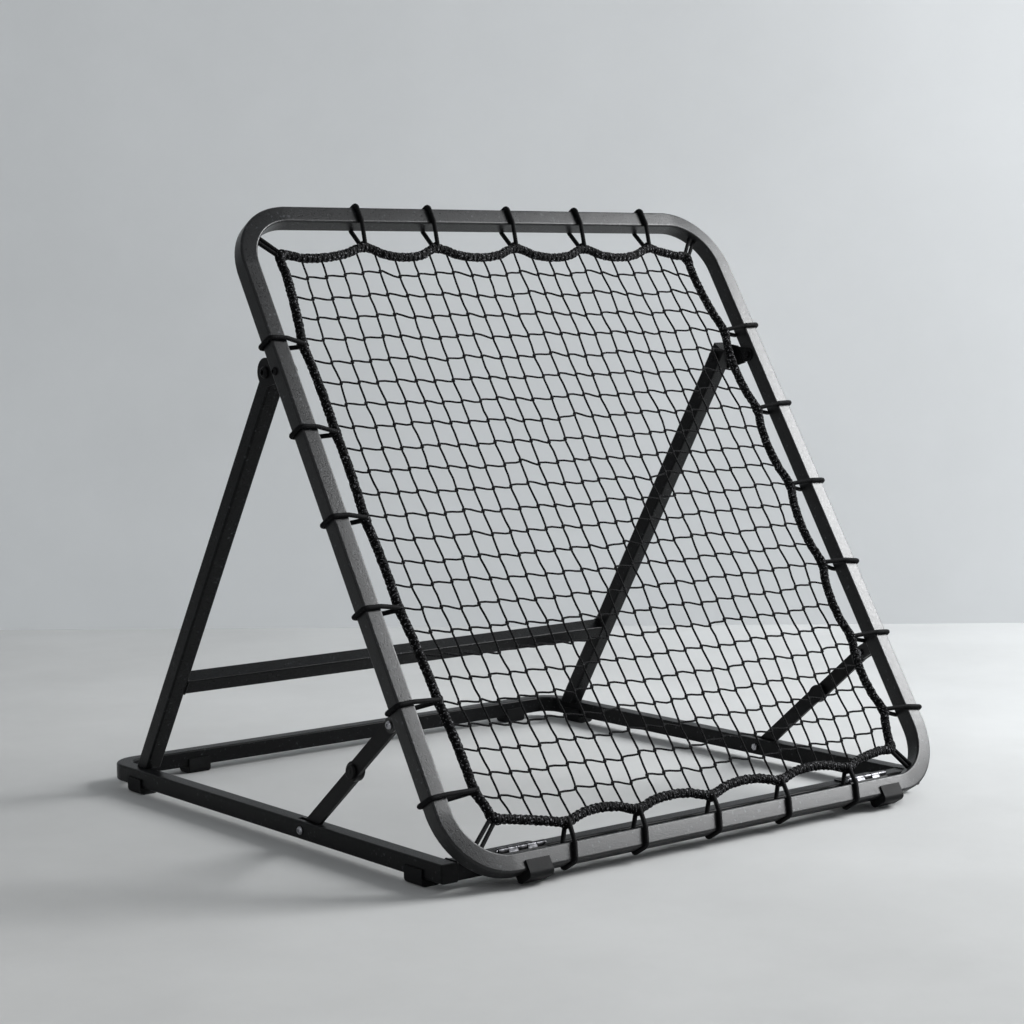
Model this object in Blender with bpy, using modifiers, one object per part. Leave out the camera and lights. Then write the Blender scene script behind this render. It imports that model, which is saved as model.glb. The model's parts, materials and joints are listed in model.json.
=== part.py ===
"""Pitch back rebounder.

A bent square-tube frame holds a knotted net by elastic loops. The frame leans back on a
U-shaped base, to which two barrel hinges join it. A rear prop frame holds it up and two
folding side stays keep it from opening further.

Directions: +X to the right seen from the front, +Y to the back, +Z up. The origin is on
the floor, in the middle of the footprint. Inside the net frame, "depth" runs from its
front face to the back, and "height" runs up along the leaning tubes.
"""

import math

import bmesh
import bpy
from mathutils import Matrix, Vector

# Stock and clearances
TUBE = 0.028
TUBE_WALL = 0.0015
TUBE_EDGE = 0.003
TUBE_EDGE_SEGMENTS = 2
WELD_STEP = 0.0002
WELD_DEPTH = 0.001
GAP = 0.0003
HOLE_CLEARANCE = 0.0002

# Net frame, leaning back
NET_WIDTH = 1.000
NET_HEIGHT = 1.092
NET_BEND = 0.105
NET_LEAN = math.radians(31.3)

# Base frame, flat on its feet, set in a little from the net frame's sides
BASE_SET_IN = 0.010
BASE_LENGTH = 0.9515
BASE_BEND = 0.055

# Prop frame behind, set in from the net frame's sides
PROP_SET_IN = 0.0245
PROP_LEAN = math.radians(31.8)
PROP_PIVOT_HEIGHT = 0.840
PROP_PIVOT_DEPTH = 0.070
PROP_TOP = 0.020
PROP_CROSSBAR_HEIGHT = 0.156

# Brackets that carry the prop
BRACKET_PLATE = 0.003
BRACKET_PIVOT_RADIUS = 0.022
BRACKET_BOLT_RADIUS = 0.011
BRACKET_BOLT_DROP = 0.028
BRACKET_BOLT_DEPTH = 0.017
BRACKET_LEG_CLEARANCE = 0.0005
BRACKET_JOGGLE = 0.008

# Barrel hinges
HINGE_SET_IN = 0.145
HINGE_LENGTH = 0.086
HINGE_KNUCKLES = 5
HINGE_BARREL_RADIUS = 0.005
HINGE_PIN_RADIUS = 0.0024
HINGE_PIN_HEAD_RADIUS = 0.0036
HINGE_PIN_HEAD = 0.0012
HINGE_LEAF = 0.002
HINGE_LEAF_CORNER = 0.007
HINGE_TO_BASE = 0.0023
HINGE_LEAF_MARGIN = 0.0025
HINGE_KNUCKLE_GAP = 0.0005
HINGE_STEP = 0.0002

# Saddle feet
FOOT_LENGTH = 0.043
FOOT_PAD = 0.012
FOOT_LIP = 0.003
FOOT_COVER = 0.014
NET_FOOT_SET_IN = 0.139
REAR_FOOT_SET_IN = {"left": 0.168, "right": 0.110}
SIDE_FOOT_SETBACK = 0.104
FRONT_FOOT_SETBACK = 0.041

# End caps of the base tubes
CAP_FLANGE = 0.002
CAP_PLUG = 0.014
CAP_STEP = 0.0004

# Folding side stays
STAY_BAR = 0.006
STAY_HALF_WIDTH = 0.012
STAY_HUB_RADIUS = 0.018
STAY_UPPER = 0.1296
STAY_TOP_HEIGHT = 0.255
STAY_TOP_DEPTH = 0.050
STAY_FOOT_SETBACK = 0.3505
STAY_SET_IN = 0.017
STAY_LANE_STEP = 0.0063
STAY_TAB_PLATE = 0.003
STAY_TAB_RADIUS = 0.0115
STAY_SWING = math.radians(34.5)
STAY_SLOT_MARGIN = 0.0015
KNUCKLE_RADIUS = 0.013
KNUCKLE_HEIGHT = 0.004
KNUCKLE_RIVET_RADIUS = 0.0045
KNUCKLE_RIVET = 0.002

# Bolts
BOLT_RADIUS = 0.003
BOLT_HEAD_RADIUS = 0.0065
BOLT_HEAD = 0.0038
BOLT_NUT_RADIUS = 0.0055
BOLT_NUT = 0.005
PIVOT_BOLT_RADIUS = 0.004
PIVOT_HEAD_RADIUS = 0.0095
PIVOT_HEAD = 0.0055
PIVOT_NUT_RADIUS = 0.0075
PIVOT_NUT = 0.006

# Net, its border rope and the elastic loops
ROPE_RADIUS = 0.0065
ROPE_INSET = 0.031
ROPE_SCALLOP = 0.010
ROPE_CORNER = 0.050
ROPE_POINTS_PER_LOOP = 4
TWINE = 0.003
NET_CELLS_ACROSS = 10
NET_CELLS_UP = 11
NET_ROPE_GAP = 0.0006
LOOP_RADIUS = 0.004
LOOP_CLEARANCE = 0.0012
BOTTOM_LOOP_TILT = 0.35
LOOPS_ACROSS = 5
LOOP_SET_IN = 0.206
TOP_LOOP_SHIFT = 0.023
LOOPS_UP = 6
SIDE_LOOP_FIRST = 0.128
SIDE_LOOP_LAST_DROP = 0.2365

# Fineness of round shapes
BEND_STEP = math.radians(11.25)
ROUND_STEP = math.radians(22.5)
LOOP_STEP = math.radians(45.0)
TURN_STEPS = 14
FLAT_ANGLE = math.radians(0.5)

# Worked out from the sizes above
BASE_WIDTH = NET_WIDTH - 2 * BASE_SET_IN
PROP_WIDTH = NET_WIDTH - 2 * PROP_SET_IN
BASE_TOP = FOOT_PAD + TUBE
BASE_MIDDLE = FOOT_PAD + TUBE / 2
NET_FRONT_EDGE = FOOT_PAD * math.cos(NET_LEAN) + (TUBE + GAP + FOOT_LIP) * math.sin(NET_LEAN)
PIN_DEPTH = TUBE + GAP + HINGE_BARREL_RADIUS - HINGE_STEP
PIN_Z = BASE_TOP + GAP + HINGE_BARREL_RADIUS - HINGE_STEP
PIN_HEIGHT = (PIN_Z - NET_FRONT_EDGE + PIN_DEPTH * math.sin(NET_LEAN)) / math.cos(NET_LEAN)
PIN_Y = PIN_HEIGHT * math.sin(NET_LEAN) + PIN_DEPTH * math.cos(NET_LEAN)
BASE_FRONT = PIN_Y + HINGE_BARREL_RADIUS + HINGE_TO_BASE
BASE_BACK = BASE_FRONT + BASE_LENGTH
SADDLE_BOTTOM = FOOT_PAD * math.sin(NET_LEAN) + (GAP + FOOT_LIP) * math.cos(NET_LEAN)
FRONT_REACH = -SADDLE_BOTTOM
BACK_REACH = BASE_BACK + GAP + FOOT_LIP
STAY_OUTER_LANE = NET_WIDTH / 2 - STAY_SET_IN
STAY_INNER_LANE = STAY_OUTER_LANE - STAY_LANE_STEP
CROSSBAR_BITE = TUBE_EDGE + WELD_DEPTH
ROPE_DISTANCE = TUBE / 2 + ROPE_INSET
BRACKET_BOLT_HEIGHT = PROP_PIVOT_HEIGHT - BRACKET_BOLT_DROP
LOOP_PITCH = (NET_WIDTH - 2 * LOOP_SET_IN) / (LOOPS_ACROSS - 1)
SIDE_LOOP_PITCH = (NET_HEIGHT - SIDE_LOOP_FIRST - SIDE_LOOP_LAST_DROP) / (LOOPS_UP - 1)

SIDES = {"left": -1, "right": 1}
AXIS_TURNS = {
    "X": Matrix(((0, 0, 1, 0), (1, 0, 0, 0), (0, 1, 0, 0), (0, 0, 0, 1))),
    "Y": Matrix(((1, 0, 0, 0), (0, 0, -1, 0), (0, 1, 0, 0), (0, 0, 0, 1))),
    "Z": Matrix.Identity(4),
}


# ---------------------------------------------------------------- scene and materials

def clear_scene():
    for item in list(bpy.data.objects):
        bpy.data.objects.remove(item, do_unlink=True)


def new_collection(name):
    collection = bpy.data.collections.new(name)
    bpy.context.scene.collection.children.link(collection)
    return collection


def new_material(name, colour, roughness, metallic):
    made = bpy.data.materials.new(name)
    made.use_nodes = True
    shader = made.node_tree.nodes["Principled BSDF"]
    shader.inputs["Base Color"].default_value = (*colour, 1.0)
    shader.inputs["Roughness"].default_value = roughness
    shader.inputs["Metallic"].default_value = metallic
    return made


clear_scene()
PARTS = new_collection("pitch_back_rebounder")
CUTTERS = new_collection("cutters")
POWDER_COAT = new_material("black_powder_coat", (0.030, 0.032, 0.036), 0.45, 0.35)
BLACK_STEEL = new_material("black_steel", (0.016, 0.017, 0.019), 0.40, 0.60)
ZINC = new_material("zinc", (0.62, 0.62, 0.64), 0.30, 1.00)
RUBBER = new_material("black_plastic", (0.012, 0.013, 0.014), 0.55, 0.00)
CORD = new_material("black_cord", (0.008, 0.008, 0.009), 0.85, 0.00)


# ---------------------------------------------------------------- placing

def place(item, collection, parent, location, turn=0.0):
    """Link an object; its location and its turn about X are in its parent's axes."""
    collection.objects.link(item)
    item.parent = parent
    item.location = location
    item.rotation_euler = (turn, 0.0, 0.0)
    return item


def new_datum(name, parent, location, turn=0.0):
    return place(bpy.data.objects.new(name, None), PARTS, parent, location, turn)


def new_part(name, mesh, look, parent, location, turn=0.0):
    mesh.materials.append(look)
    return place(bpy.data.objects.new(name, mesh), PARTS, parent, location, turn)


def new_cutter(name, mesh, parent, location, turn=0.0):
    """A helper shape that is cut from a part or welded to one."""
    item = place(bpy.data.objects.new(name, mesh), CUTTERS, parent, location, turn)
    item.hide_render = True
    item.display_type = "WIRE"
    return item


# ---------------------------------------------------------------- meshes

def finish_mesh(name, shape, turn=None):
    """Turn a bmesh into a mesh with its faces outward."""
    if turn is not None:
        bmesh.ops.transform(shape, matrix=turn, verts=shape.verts)
    bmesh.ops.recalc_face_normals(shape, faces=shape.faces)
    mesh = bpy.data.meshes.new(name)
    shape.to_mesh(mesh)
    shape.free()
    return mesh


def mesh_from_curve(name, curve, turn):
    """Read a curve as a closed mesh, and drop the curve."""
    guide = bpy.data.objects.new(name, curve)
    bpy.context.scene.collection.objects.link(guide)
    bpy.context.view_layer.update()
    evaluated = guide.evaluated_get(bpy.context.evaluated_depsgraph_get())
    raw = bpy.data.meshes.new_from_object(evaluated)
    shape = bmesh.new()
    shape.from_mesh(raw)
    bmesh.ops.remove_doubles(shape, verts=shape.verts, dist=1e-6)
    if curve.dimensions == "2D":
        bmesh.ops.dissolve_limit(shape, angle_limit=FLAT_ANGLE, verts=shape.verts, edges=shape.edges)
    bpy.data.objects.remove(guide, do_unlink=True)
    bpy.data.curves.remove(curve)
    bpy.data.meshes.remove(raw)
    return finish_mesh(name, shape, turn)


def plate_mesh(name, outlines, thickness, axis):
    """Fill flat outlines, holes included, and thicken them evenly along the axis."""
    curve = bpy.data.curves.new(name, "CURVE")
    curve.dimensions = "2D"
    curve.fill_mode = "BOTH"
    curve.extrude = thickness / 2
    for outline in outlines:
        spline = curve.splines.new("POLY")
        spline.points.add(len(outline) - 1)
        for point, (across, up) in zip(spline.points, outline):
            point.co = (across, up, 0.0, 1.0)
        spline.use_cyclic_u = True
    return mesh_from_curve(name, curve, AXIS_TURNS[axis])


def cord_mesh(name, points, radius):
    """A closed ring of cord along the points."""
    curve = bpy.data.curves.new(name, "CURVE")
    curve.dimensions = "3D"
    curve.bevel_depth = radius
    curve.bevel_resolution = 1
    spline = curve.splines.new("POLY")
    spline.points.add(len(points) - 1)
    for point, place_of in zip(spline.points, points):
        point.co = (*place_of, 1.0)
    spline.use_cyclic_u = True
    return mesh_from_curve(name, curve, AXIS_TURNS["Z"])


def box_mesh(name, size, centres=(0.0,)):
    """Boxes in line along X, one about each centre."""
    shape = bmesh.new()
    for centre in centres:
        where = Matrix.Translation((centre, 0.0, 0.0)) @ Matrix.Diagonal((*size, 1.0))
        bmesh.ops.create_cube(shape, size=1.0, matrix=where)
    return finish_mesh(name, shape)


def rod_mesh(name, radius, length, centres=(0.0,)):
    """Round rods in line along X, one about each centre."""
    shape = bmesh.new()
    lie_down = Matrix.Rotation(math.pi / 2, 4, "Y")
    for centre in centres:
        bmesh.ops.create_cone(
            shape, cap_ends=True, segments=TURN_STEPS, radius1=radius, radius2=radius,
            depth=length, matrix=Matrix.Translation((centre, 0.0, 0.0)) @ lie_down,
        )
    return finish_mesh(name, shape)


def turned_mesh(name, profile):
    """Half a section, given as (radius, distance) from one end to the other."""
    mesh = bpy.data.meshes.new(name)
    corners = [(radius, 0.0, distance) for radius, distance in profile]
    edges = [(index, index + 1) for index in range(len(corners) - 1)]
    mesh.from_pydata(corners, edges, [])
    return mesh


# ---------------------------------------------------------------- modifiers

def turn_round(item):
    screw = item.modifiers.new("turned", "SCREW")
    screw.axis = "Z"
    screw.angle = 2 * math.pi
    screw.steps = TURN_STEPS
    screw.render_steps = TURN_STEPS
    screw.use_merge_vertices = True
    screw.merge_threshold = 0.00005
    return item


def round_edges(item, width, segments):
    bevel = item.modifiers.new("round_edges", "BEVEL")
    bevel.width = width
    bevel.segments = segments
    bevel.limit_method = "ANGLE"
    bevel.angle_limit = math.radians(40)
    return item


def combine(item, other, operation):
    boolean = item.modifiers.new(other.name, "BOOLEAN")
    boolean.operation = operation
    boolean.solver = "EXACT"
    boolean.object = other


def weld(item, other):
    combine(item, other, "UNION")


def cut(item, other):
    combine(item, other, "DIFFERENCE")


# ---------------------------------------------------------------- outlines

def arc(centre, radius, start, end, step=ROUND_STEP):
    """Points on an arc from one angle to another, both included."""
    count = max(1, math.ceil(abs(end - start) / step - 1e-6))
    angles = [start + (end - start) * index / count for index in range(count + 1)]
    return [(centre[0] + radius * math.cos(a), centre[1] + radius * math.sin(a)) for a in angles]


def circle(centre, radius, step=ROUND_STEP):
    return arc(centre, radius, 0.0, 2 * math.pi, step)[:-1]


def rounded_rectangle(left, right, low, high, radius, step=BEND_STEP):
    quarter = math.pi / 2
    points = arc((left + radius, low + radius), radius, 2 * quarter, 3 * quarter, step)
    points += arc((right - radius, low + radius), radius, 3 * quarter, 4 * quarter, step)
    points += arc((right - radius, high - radius), radius, 0.0, quarter, step)
    points += arc((left + radius, high - radius), radius, quarter, 2 * quarter, step)
    return points


def belt(circles, step=ROUND_STEP):
    """The outline of a belt run counter-clockwise round circles (centre, radius)."""
    touches = []
    for index, (centre, radius) in enumerate(circles):
        next_centre, next_radius = circles[(index + 1) % len(circles)]
        run = Vector(next_centre) - Vector(centre)
        heading = math.atan2(run.y, run.x)
        touches.append(heading - math.acos((radius - next_radius) / run.length))
    points = []
    for index, (centre, radius) in enumerate(circles):
        start = touches[index - 1]
        sweep = (touches[index] - start) % (2 * math.pi)
        points += arc(centre, radius, start, start + sweep, step)
    return points


def frame_ring(inset):
    """Outer and inner outlines of the net frame, drawn in by the inset on both sides."""
    half = NET_WIDTH / 2 - inset
    inner_half = NET_WIDTH / 2 - TUBE + inset
    outer = rounded_rectangle(-half, half, inset, NET_HEIGHT - inset, NET_BEND - inset)
    inner = rounded_rectangle(
        -inner_half, inner_half, TUBE - inset, NET_HEIGHT - TUBE + inset, NET_BEND - TUBE + inset
    )
    return [outer, inner]


def base_outline(inset, front):
    """The outline of the base's bent tube, drawn in by the inset on both sides."""
    quarter = math.pi / 2
    half = BASE_WIDTH / 2 - inset
    back = BASE_BACK - inset
    bend = BASE_BEND - inset
    inner_half = BASE_WIDTH / 2 - TUBE + inset
    inner_back = BASE_BACK - TUBE + inset
    inner_bend = BASE_BEND - TUBE + inset
    points = [(half, front)]
    points += arc((half - bend, back - bend), bend, 0.0, quarter, BEND_STEP)
    points += arc((bend - half, back - bend), bend, quarter, 2 * quarter, BEND_STEP)
    points += [(-half, front), (-inner_half, front)]
    points += arc(
        (inner_bend - inner_half, inner_back - inner_bend), inner_bend, 2 * quarter, quarter, BEND_STEP
    )
    points += arc(
        (inner_half - inner_bend, inner_back - inner_bend), inner_bend, quarter, 0.0, BEND_STEP
    )
    points += [(inner_half, front)]
    return points


def saddle_outline():
    """Section of a saddle foot; the tube it holds has its bottom centre at the origin."""
    channel = TUBE / 2 + GAP
    outside = channel + FOOT_LIP
    return [
        (-outside, -FOOT_PAD), (outside, -FOOT_PAD), (outside, FOOT_COVER), (channel, FOOT_COVER),
        (channel, -GAP), (-channel, -GAP), (-channel, FOOT_COVER), (-outside, FOOT_COVER),
    ]


def eye_bar_outline(length):
    """A bar with a round end at the origin and a larger hub disc at its other end."""
    meet = math.asin(STAY_HALF_WIDTH / STAY_HUB_RADIUS)
    points = arc((0.0, 0.0), STAY_HALF_WIDTH, math.pi / 2, 3 * math.pi / 2)
    points += arc((length, 0.0), STAY_HUB_RADIUS, meet - math.pi, math.pi - meet)
    return points


def knuckle_spans(first):
    """Start and end along X of every second knuckle of a hinge, from its middle."""
    pitch = HINGE_LENGTH / HINGE_KNUCKLES
    spans = []
    for index in range(first, HINGE_KNUCKLES, 2):
        start = -HINGE_LENGTH / 2 + index * pitch
        spans.append((start + HINGE_KNUCKLE_GAP / 2, start + pitch - HINGE_KNUCKLE_GAP / 2))
    return spans


def leaf_outline(reach):
    """The flat of a hinge leaf, from just clear of the barrel to its rounded far edge."""
    half = HINGE_LENGTH / 2
    root = HINGE_BARREL_RADIUS + HINGE_KNUCKLE_GAP
    corner = HINGE_LEAF_CORNER
    points = arc((half - corner, reach - corner), corner, 0.0, math.pi / 2)
    points += arc((corner - half, reach - corner), corner, math.pi / 2, math.pi)
    points += [(-half, root), (half, root)]
    return points


# ---------------------------------------------------------------- datums

ROOT = new_datum("rebounder", None, (0.0, -(FRONT_REACH + BACK_REACH) / 2, 0.0))
NET_HINGE = new_datum("net_hinge", ROOT, (0.0, PIN_Y, PIN_Z), -NET_LEAN)
NET_DATUM = new_datum("net_datum", NET_HINGE, (0.0, -PIN_DEPTH, -PIN_HEIGHT))
PROP_HINGE = new_datum(
    "prop_hinge", NET_DATUM, (0.0, PROP_PIVOT_DEPTH, PROP_PIVOT_HEIGHT), PROP_LEAN + NET_LEAN
)


def net_to_base(depth, height):
    """Where a point of the net frame is in the base's Y and Z."""
    back = height * math.sin(NET_LEAN) + depth * math.cos(NET_LEAN)
    up = NET_FRONT_EDGE + height * math.cos(NET_LEAN) - depth * math.sin(NET_LEAN)
    return back, up


STAY_TOP = Vector(net_to_base(STAY_TOP_DEPTH, STAY_TOP_HEIGHT))
STAY_FOOT = Vector((BASE_FRONT + STAY_FOOT_SETBACK, BASE_MIDDLE))
STAY_RUN = STAY_FOOT - STAY_TOP
STAY_SLOPE = math.atan2(STAY_RUN.y, STAY_RUN.x)
STAY_LOWER = STAY_RUN.length - STAY_UPPER


# ---------------------------------------------------------------- frames

def make_net_frame():
    mesh = plate_mesh("net_frame", frame_ring(0.0), TUBE, "Y")
    frame = new_part("net_frame", mesh, POWDER_COAT, NET_DATUM, (0.0, TUBE / 2, 0.0))
    round_edges(frame, TUBE_EDGE, TUBE_EDGE_SEGMENTS)
    hollow = plate_mesh("net_hollow", frame_ring(TUBE_WALL), TUBE - 2 * TUBE_WALL, "Y")
    for side, sign in SIDES.items():
        for lane in (1, -1):
            weld(frame, stay_tab(side, sign, lane))
    cut(frame, new_cutter("net_hollow", hollow, NET_DATUM, (0.0, TUBE / 2, 0.0)))
    for side, sign in SIDES.items():
        cut(frame, cross_hole(
            "bracket_hole_" + side, BOLT_RADIUS, sign * (NET_WIDTH / 2 - TUBE / 2),
            NET_DATUM, BRACKET_BOLT_DEPTH, BRACKET_BOLT_HEIGHT,
        ))
        cut(frame, cross_hole(
            "stay_tab_hole_" + side, BOLT_RADIUS, sign * STAY_OUTER_LANE,
            NET_DATUM, STAY_TOP_DEPTH, STAY_TOP_HEIGHT,
        ))


def stay_tab(side, sign, lane):
    """One of the two welded plates that hold the top bolt of a stay."""
    root = TUBE - WELD_DEPTH
    outline = arc((STAY_TOP_DEPTH, 0.0), STAY_TAB_RADIUS, -math.pi / 2, math.pi / 2)
    outline += [(root, STAY_TAB_RADIUS), (root, -STAY_TAB_RADIUS)]
    name = "stay_tab_" + side + ("_outer" if lane > 0 else "_inner")
    mesh = plate_mesh(name, [outline], STAY_TAB_PLATE, "X")
    offset = (STAY_BAR + STAY_TAB_PLATE) / 2 + GAP
    across = sign * (STAY_OUTER_LANE + lane * offset)
    return new_cutter(name, mesh, NET_DATUM, (across, 0.0, STAY_TOP_HEIGHT))


def cross_hole(name, radius, across, parent, depth, height):
    """A cutter for a bolt hole that runs across both walls of a tube."""
    mesh = rod_mesh(name, radius + HOLE_CLEARANCE, 2 * TUBE)
    return new_cutter(name, mesh, parent, (across, depth, height))


def make_base_frame():
    mesh = plate_mesh("base_frame", [base_outline(0.0, BASE_FRONT)], TUBE, "Z")
    frame = new_part("base_frame", mesh, POWDER_COAT, ROOT, (0.0, 0.0, BASE_MIDDLE))
    round_edges(frame, TUBE_EDGE, TUBE_EDGE_SEGMENTS)
    inside = BASE_WIDTH - 2 * TUBE
    centre = (0.0, BASE_FRONT + TUBE / 2, BASE_MIDDLE)
    section = TUBE - 2 * WELD_STEP
    crossbar = new_cutter(
        "base_crossbar", box_mesh("base_crossbar", (inside + 2 * CROSSBAR_BITE, section, section)), ROOT, centre
    )
    weld(frame, round_edges(crossbar, TUBE_EDGE, TUBE_EDGE_SEGMENTS))
    hollow = plate_mesh(
        "base_hollow", [base_outline(TUBE_WALL, BASE_FRONT - TUBE)], TUBE - 2 * TUBE_WALL, "Z"
    )
    cut(frame, new_cutter("base_hollow", hollow, ROOT, (0.0, 0.0, BASE_MIDDLE)))
    bore = section - 2 * TUBE_WALL
    crossbar_hollow = box_mesh("crossbar_hollow", (inside + TUBE, bore, bore))
    cut(frame, new_cutter("crossbar_hollow", crossbar_hollow, ROOT, centre))
    for side, sign in SIDES.items():
        cut(frame, stay_slot(side, sign))
        cut(frame, cross_hole(
            "stay_foot_hole_" + side, BOLT_RADIUS, sign * (BASE_WIDTH / 2 - TUBE / 2),
            ROOT, STAY_FOOT.x, STAY_FOOT.y,
        ))


def stay_slot(side, sign):
    """A slot in the top wall that the lower bar swings through."""
    rise = BASE_TOP - STAY_FOOT.y
    rest = -STAY_SLOPE
    steep = rest + STAY_SWING
    front = rise / math.tan(rest) + STAY_HALF_WIDTH / math.sin(rest) + STAY_SLOT_MARGIN
    back = STAY_HALF_WIDTH / math.sin(steep) - rise / math.tan(steep) + 2 * STAY_SLOT_MARGIN
    name = "stay_slot_" + side
    mesh = box_mesh(name, (STAY_BAR + 2 * STAY_SLOT_MARGIN, front + back, 2 * (TUBE_WALL + GAP)))
    middle = STAY_FOOT.x + (back - front) / 2
    return new_cutter(name, mesh, ROOT, (sign * STAY_INNER_LANE, middle, BASE_TOP))


def prop_foot(depth):
    """Height of the cut foot of a leg, seen from the pivot, at a depth from its middle."""
    drop = net_to_base(PROP_PIVOT_DEPTH, PROP_PIVOT_HEIGHT)[1] - BASE_TOP - GAP
    return -(drop + depth * math.sin(PROP_LEAN)) / math.cos(PROP_LEAN)


def leg_mesh(name, inset, top, below):
    """A prop leg; its foot is cut to stand flat on the base."""
    half = TUBE / 2 - inset
    outline = [(-half, prop_foot(-half) - below), (half, prop_foot(half) - below), (half, top), (-half, top)]
    return plate_mesh(name, [outline], TUBE - 2 * inset, "X")


def make_prop_frame():
    across = PROP_WIDTH / 2 - TUBE / 2
    left = leg_mesh("prop_frame", 0.0, PROP_TOP, 0.0)
    left.transform(Matrix.Translation((-across, 0.0, 0.0)))
    frame = round_edges(
        new_part("prop_frame", left, POWDER_COAT, PROP_HINGE, (0.0, 0.0, 0.0)), TUBE_EDGE, TUBE_EDGE_SEGMENTS
    )
    right = new_cutter("prop_leg_right", leg_mesh("prop_leg_right", 0.0, PROP_TOP, 0.0), PROP_HINGE,
                       (across, 0.0, 0.0))
    section = TUBE - 2 * WELD_STEP
    height = prop_foot(-TUBE / 2) + PROP_CROSSBAR_HEIGHT + TUBE / 2
    inside = PROP_WIDTH - 2 * TUBE
    bar = new_cutter("prop_crossbar", box_mesh("prop_crossbar", (inside + 2 * CROSSBAR_BITE, section, section)),
                     PROP_HINGE, (0.0, 0.0, height))
    weld(frame, round_edges(bar, TUBE_EDGE, TUBE_EDGE_SEGMENTS))
    weld(frame, round_edges(right, TUBE_EDGE, TUBE_EDGE_SEGMENTS))
    for side, sign in SIDES.items():
        name = "prop_hollow_" + side
        hollow = leg_mesh(name, TUBE_WALL, PROP_TOP - TUBE_WALL, TUBE)
        cut(frame, new_cutter(name, hollow, PROP_HINGE, (sign * across, 0.0, 0.0)))
    bore = section - 2 * TUBE_WALL
    cut(frame, new_cutter("prop_bar_hollow", box_mesh("prop_bar_hollow", (inside + TUBE, bore, bore)),
                          PROP_HINGE, (0.0, 0.0, height)))
    for side, sign in SIDES.items():
        cut(frame, cross_hole("prop_hole_" + side, PIVOT_BOLT_RADIUS, sign * across, PROP_HINGE, 0.0, 0.0))


def make_end_cap(side, sign):
    section = TUBE - 2 * CAP_STEP
    plug = TUBE - 2 * TUBE_WALL - 2 * CAP_STEP
    across = sign * (BASE_WIDTH / 2 - TUBE / 2)
    name = "base_end_cap_" + side
    flange = box_mesh(name, (section, CAP_FLANGE, section))
    middle = BASE_FRONT - GAP - CAP_FLANGE / 2
    cap = round_edges(new_part(name, flange, RUBBER, ROOT, (across, middle, BASE_MIDDLE)), CAP_STEP * 2, 2)
    length = CAP_PLUG + CAP_FLANGE / 2
    plug_mesh = box_mesh(name + "_plug", (plug, length, plug))
    weld(cap, new_cutter(name + "_plug", plug_mesh, ROOT, (across, middle + length / 2, BASE_MIDDLE)))


# ---------------------------------------------------------------- prop brackets and bolts

def make_bracket(side, sign):
    """A plate bolted to the net tube's inner face that steps outward past the prop leg."""
    across = NET_WIDTH / 2 - TUBE - GAP - BRACKET_PLATE / 2
    outer = PROP_WIDTH / 2 + BRACKET_LEG_CLEARANCE + BRACKET_PLATE / 2
    rise = PROP_PIVOT_HEIGHT - BRACKET_BOLT_HEIGHT
    low = (BRACKET_BOLT_DEPTH, 0.0)
    high = (PROP_PIVOT_DEPTH, rise)
    outline = belt([(low, BRACKET_BOLT_RADIUS), (high, BRACKET_PIVOT_RADIUS)])
    holes = [
        circle(low, BOLT_RADIUS + HOLE_CLEARANCE),
        circle(high, PIVOT_BOLT_RADIUS + HOLE_CLEARANCE),
    ]
    name = "prop_bracket_" + side
    step = outer - across
    mesh = plate_mesh(name, [outline, *holes], 2 * (abs(step) + BRACKET_PLATE), "X")
    location = (sign * across, 0.0, BRACKET_BOLT_HEIGHT)
    bracket = new_part(name, mesh, BLACK_STEEL, NET_DATUM, location)
    start = TUBE + GAP
    reach = PROP_PIVOT_DEPTH + 2 * BRACKET_PIVOT_RADIUS
    half = BRACKET_PLATE / 2
    run = [(0.0, -start), (0.0, start), (step, start + BRACKET_JOGGLE), (step, reach)]
    strip = [(sign * (x + half), y) for x, y in run] + [(sign * (x - half), y) for x, y in reversed(run)]
    sheet = plate_mesh(name + "_sheet", [strip], 4 * BRACKET_PIVOT_RADIUS + 2 * rise, "Z")
    combine(bracket, new_cutter(name + "_sheet", sheet, NET_DATUM, location), "INTERSECT")


def bolt_profile(shank, head_radius, head, nut_radius, nut, grip):
    """A domed head above 0, a shank through the grip and a nut on its end."""
    dome = [(head_radius * math.sin(a), head * math.cos(a)) for a in (0.0, 0.6, 1.15)]
    return dome + [
        (head_radius, 0.0), (shank, 0.0), (shank, -grip), (nut_radius, -grip),
        (nut_radius, -grip - nut), (0.0, -grip - nut),
    ]


def make_bolt(name, profile, look, parent, seat, sign):
    """A bolt across the frame, its head outward with its seat at the given point."""
    bolt = turn_round(new_part(name, turned_mesh(name, profile), look, parent, seat))
    bolt.rotation_euler = (0.0, sign * math.pi / 2, 0.0)


def make_bracket_bolt(side, sign):
    grip = TUBE + BRACKET_PLATE + 3 * GAP
    profile = bolt_profile(BOLT_RADIUS, BOLT_HEAD_RADIUS, BOLT_HEAD, BOLT_NUT_RADIUS, BOLT_NUT, grip)
    seat = (sign * (NET_WIDTH / 2 + GAP), BRACKET_BOLT_DEPTH, BRACKET_BOLT_HEIGHT)
    make_bolt("bracket_bolt_" + side, profile, BLACK_STEEL, NET_DATUM, seat, sign)


def make_pivot_bolt(side, sign):
    grip = TUBE + BRACKET_LEG_CLEARANCE + BRACKET_PLATE + 2 * GAP
    profile = bolt_profile(
        PIVOT_BOLT_RADIUS, PIVOT_HEAD_RADIUS, PIVOT_HEAD, PIVOT_NUT_RADIUS, PIVOT_NUT, grip
    )
    seat = (sign * (PROP_WIDTH / 2 + BRACKET_LEG_CLEARANCE + BRACKET_PLATE + GAP), 0.0, 0.0)
    make_bolt("prop_pivot_bolt_" + side, profile, BLACK_STEEL, PROP_HINGE, seat, sign)


# ---------------------------------------------------------------- barrel hinges

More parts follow.
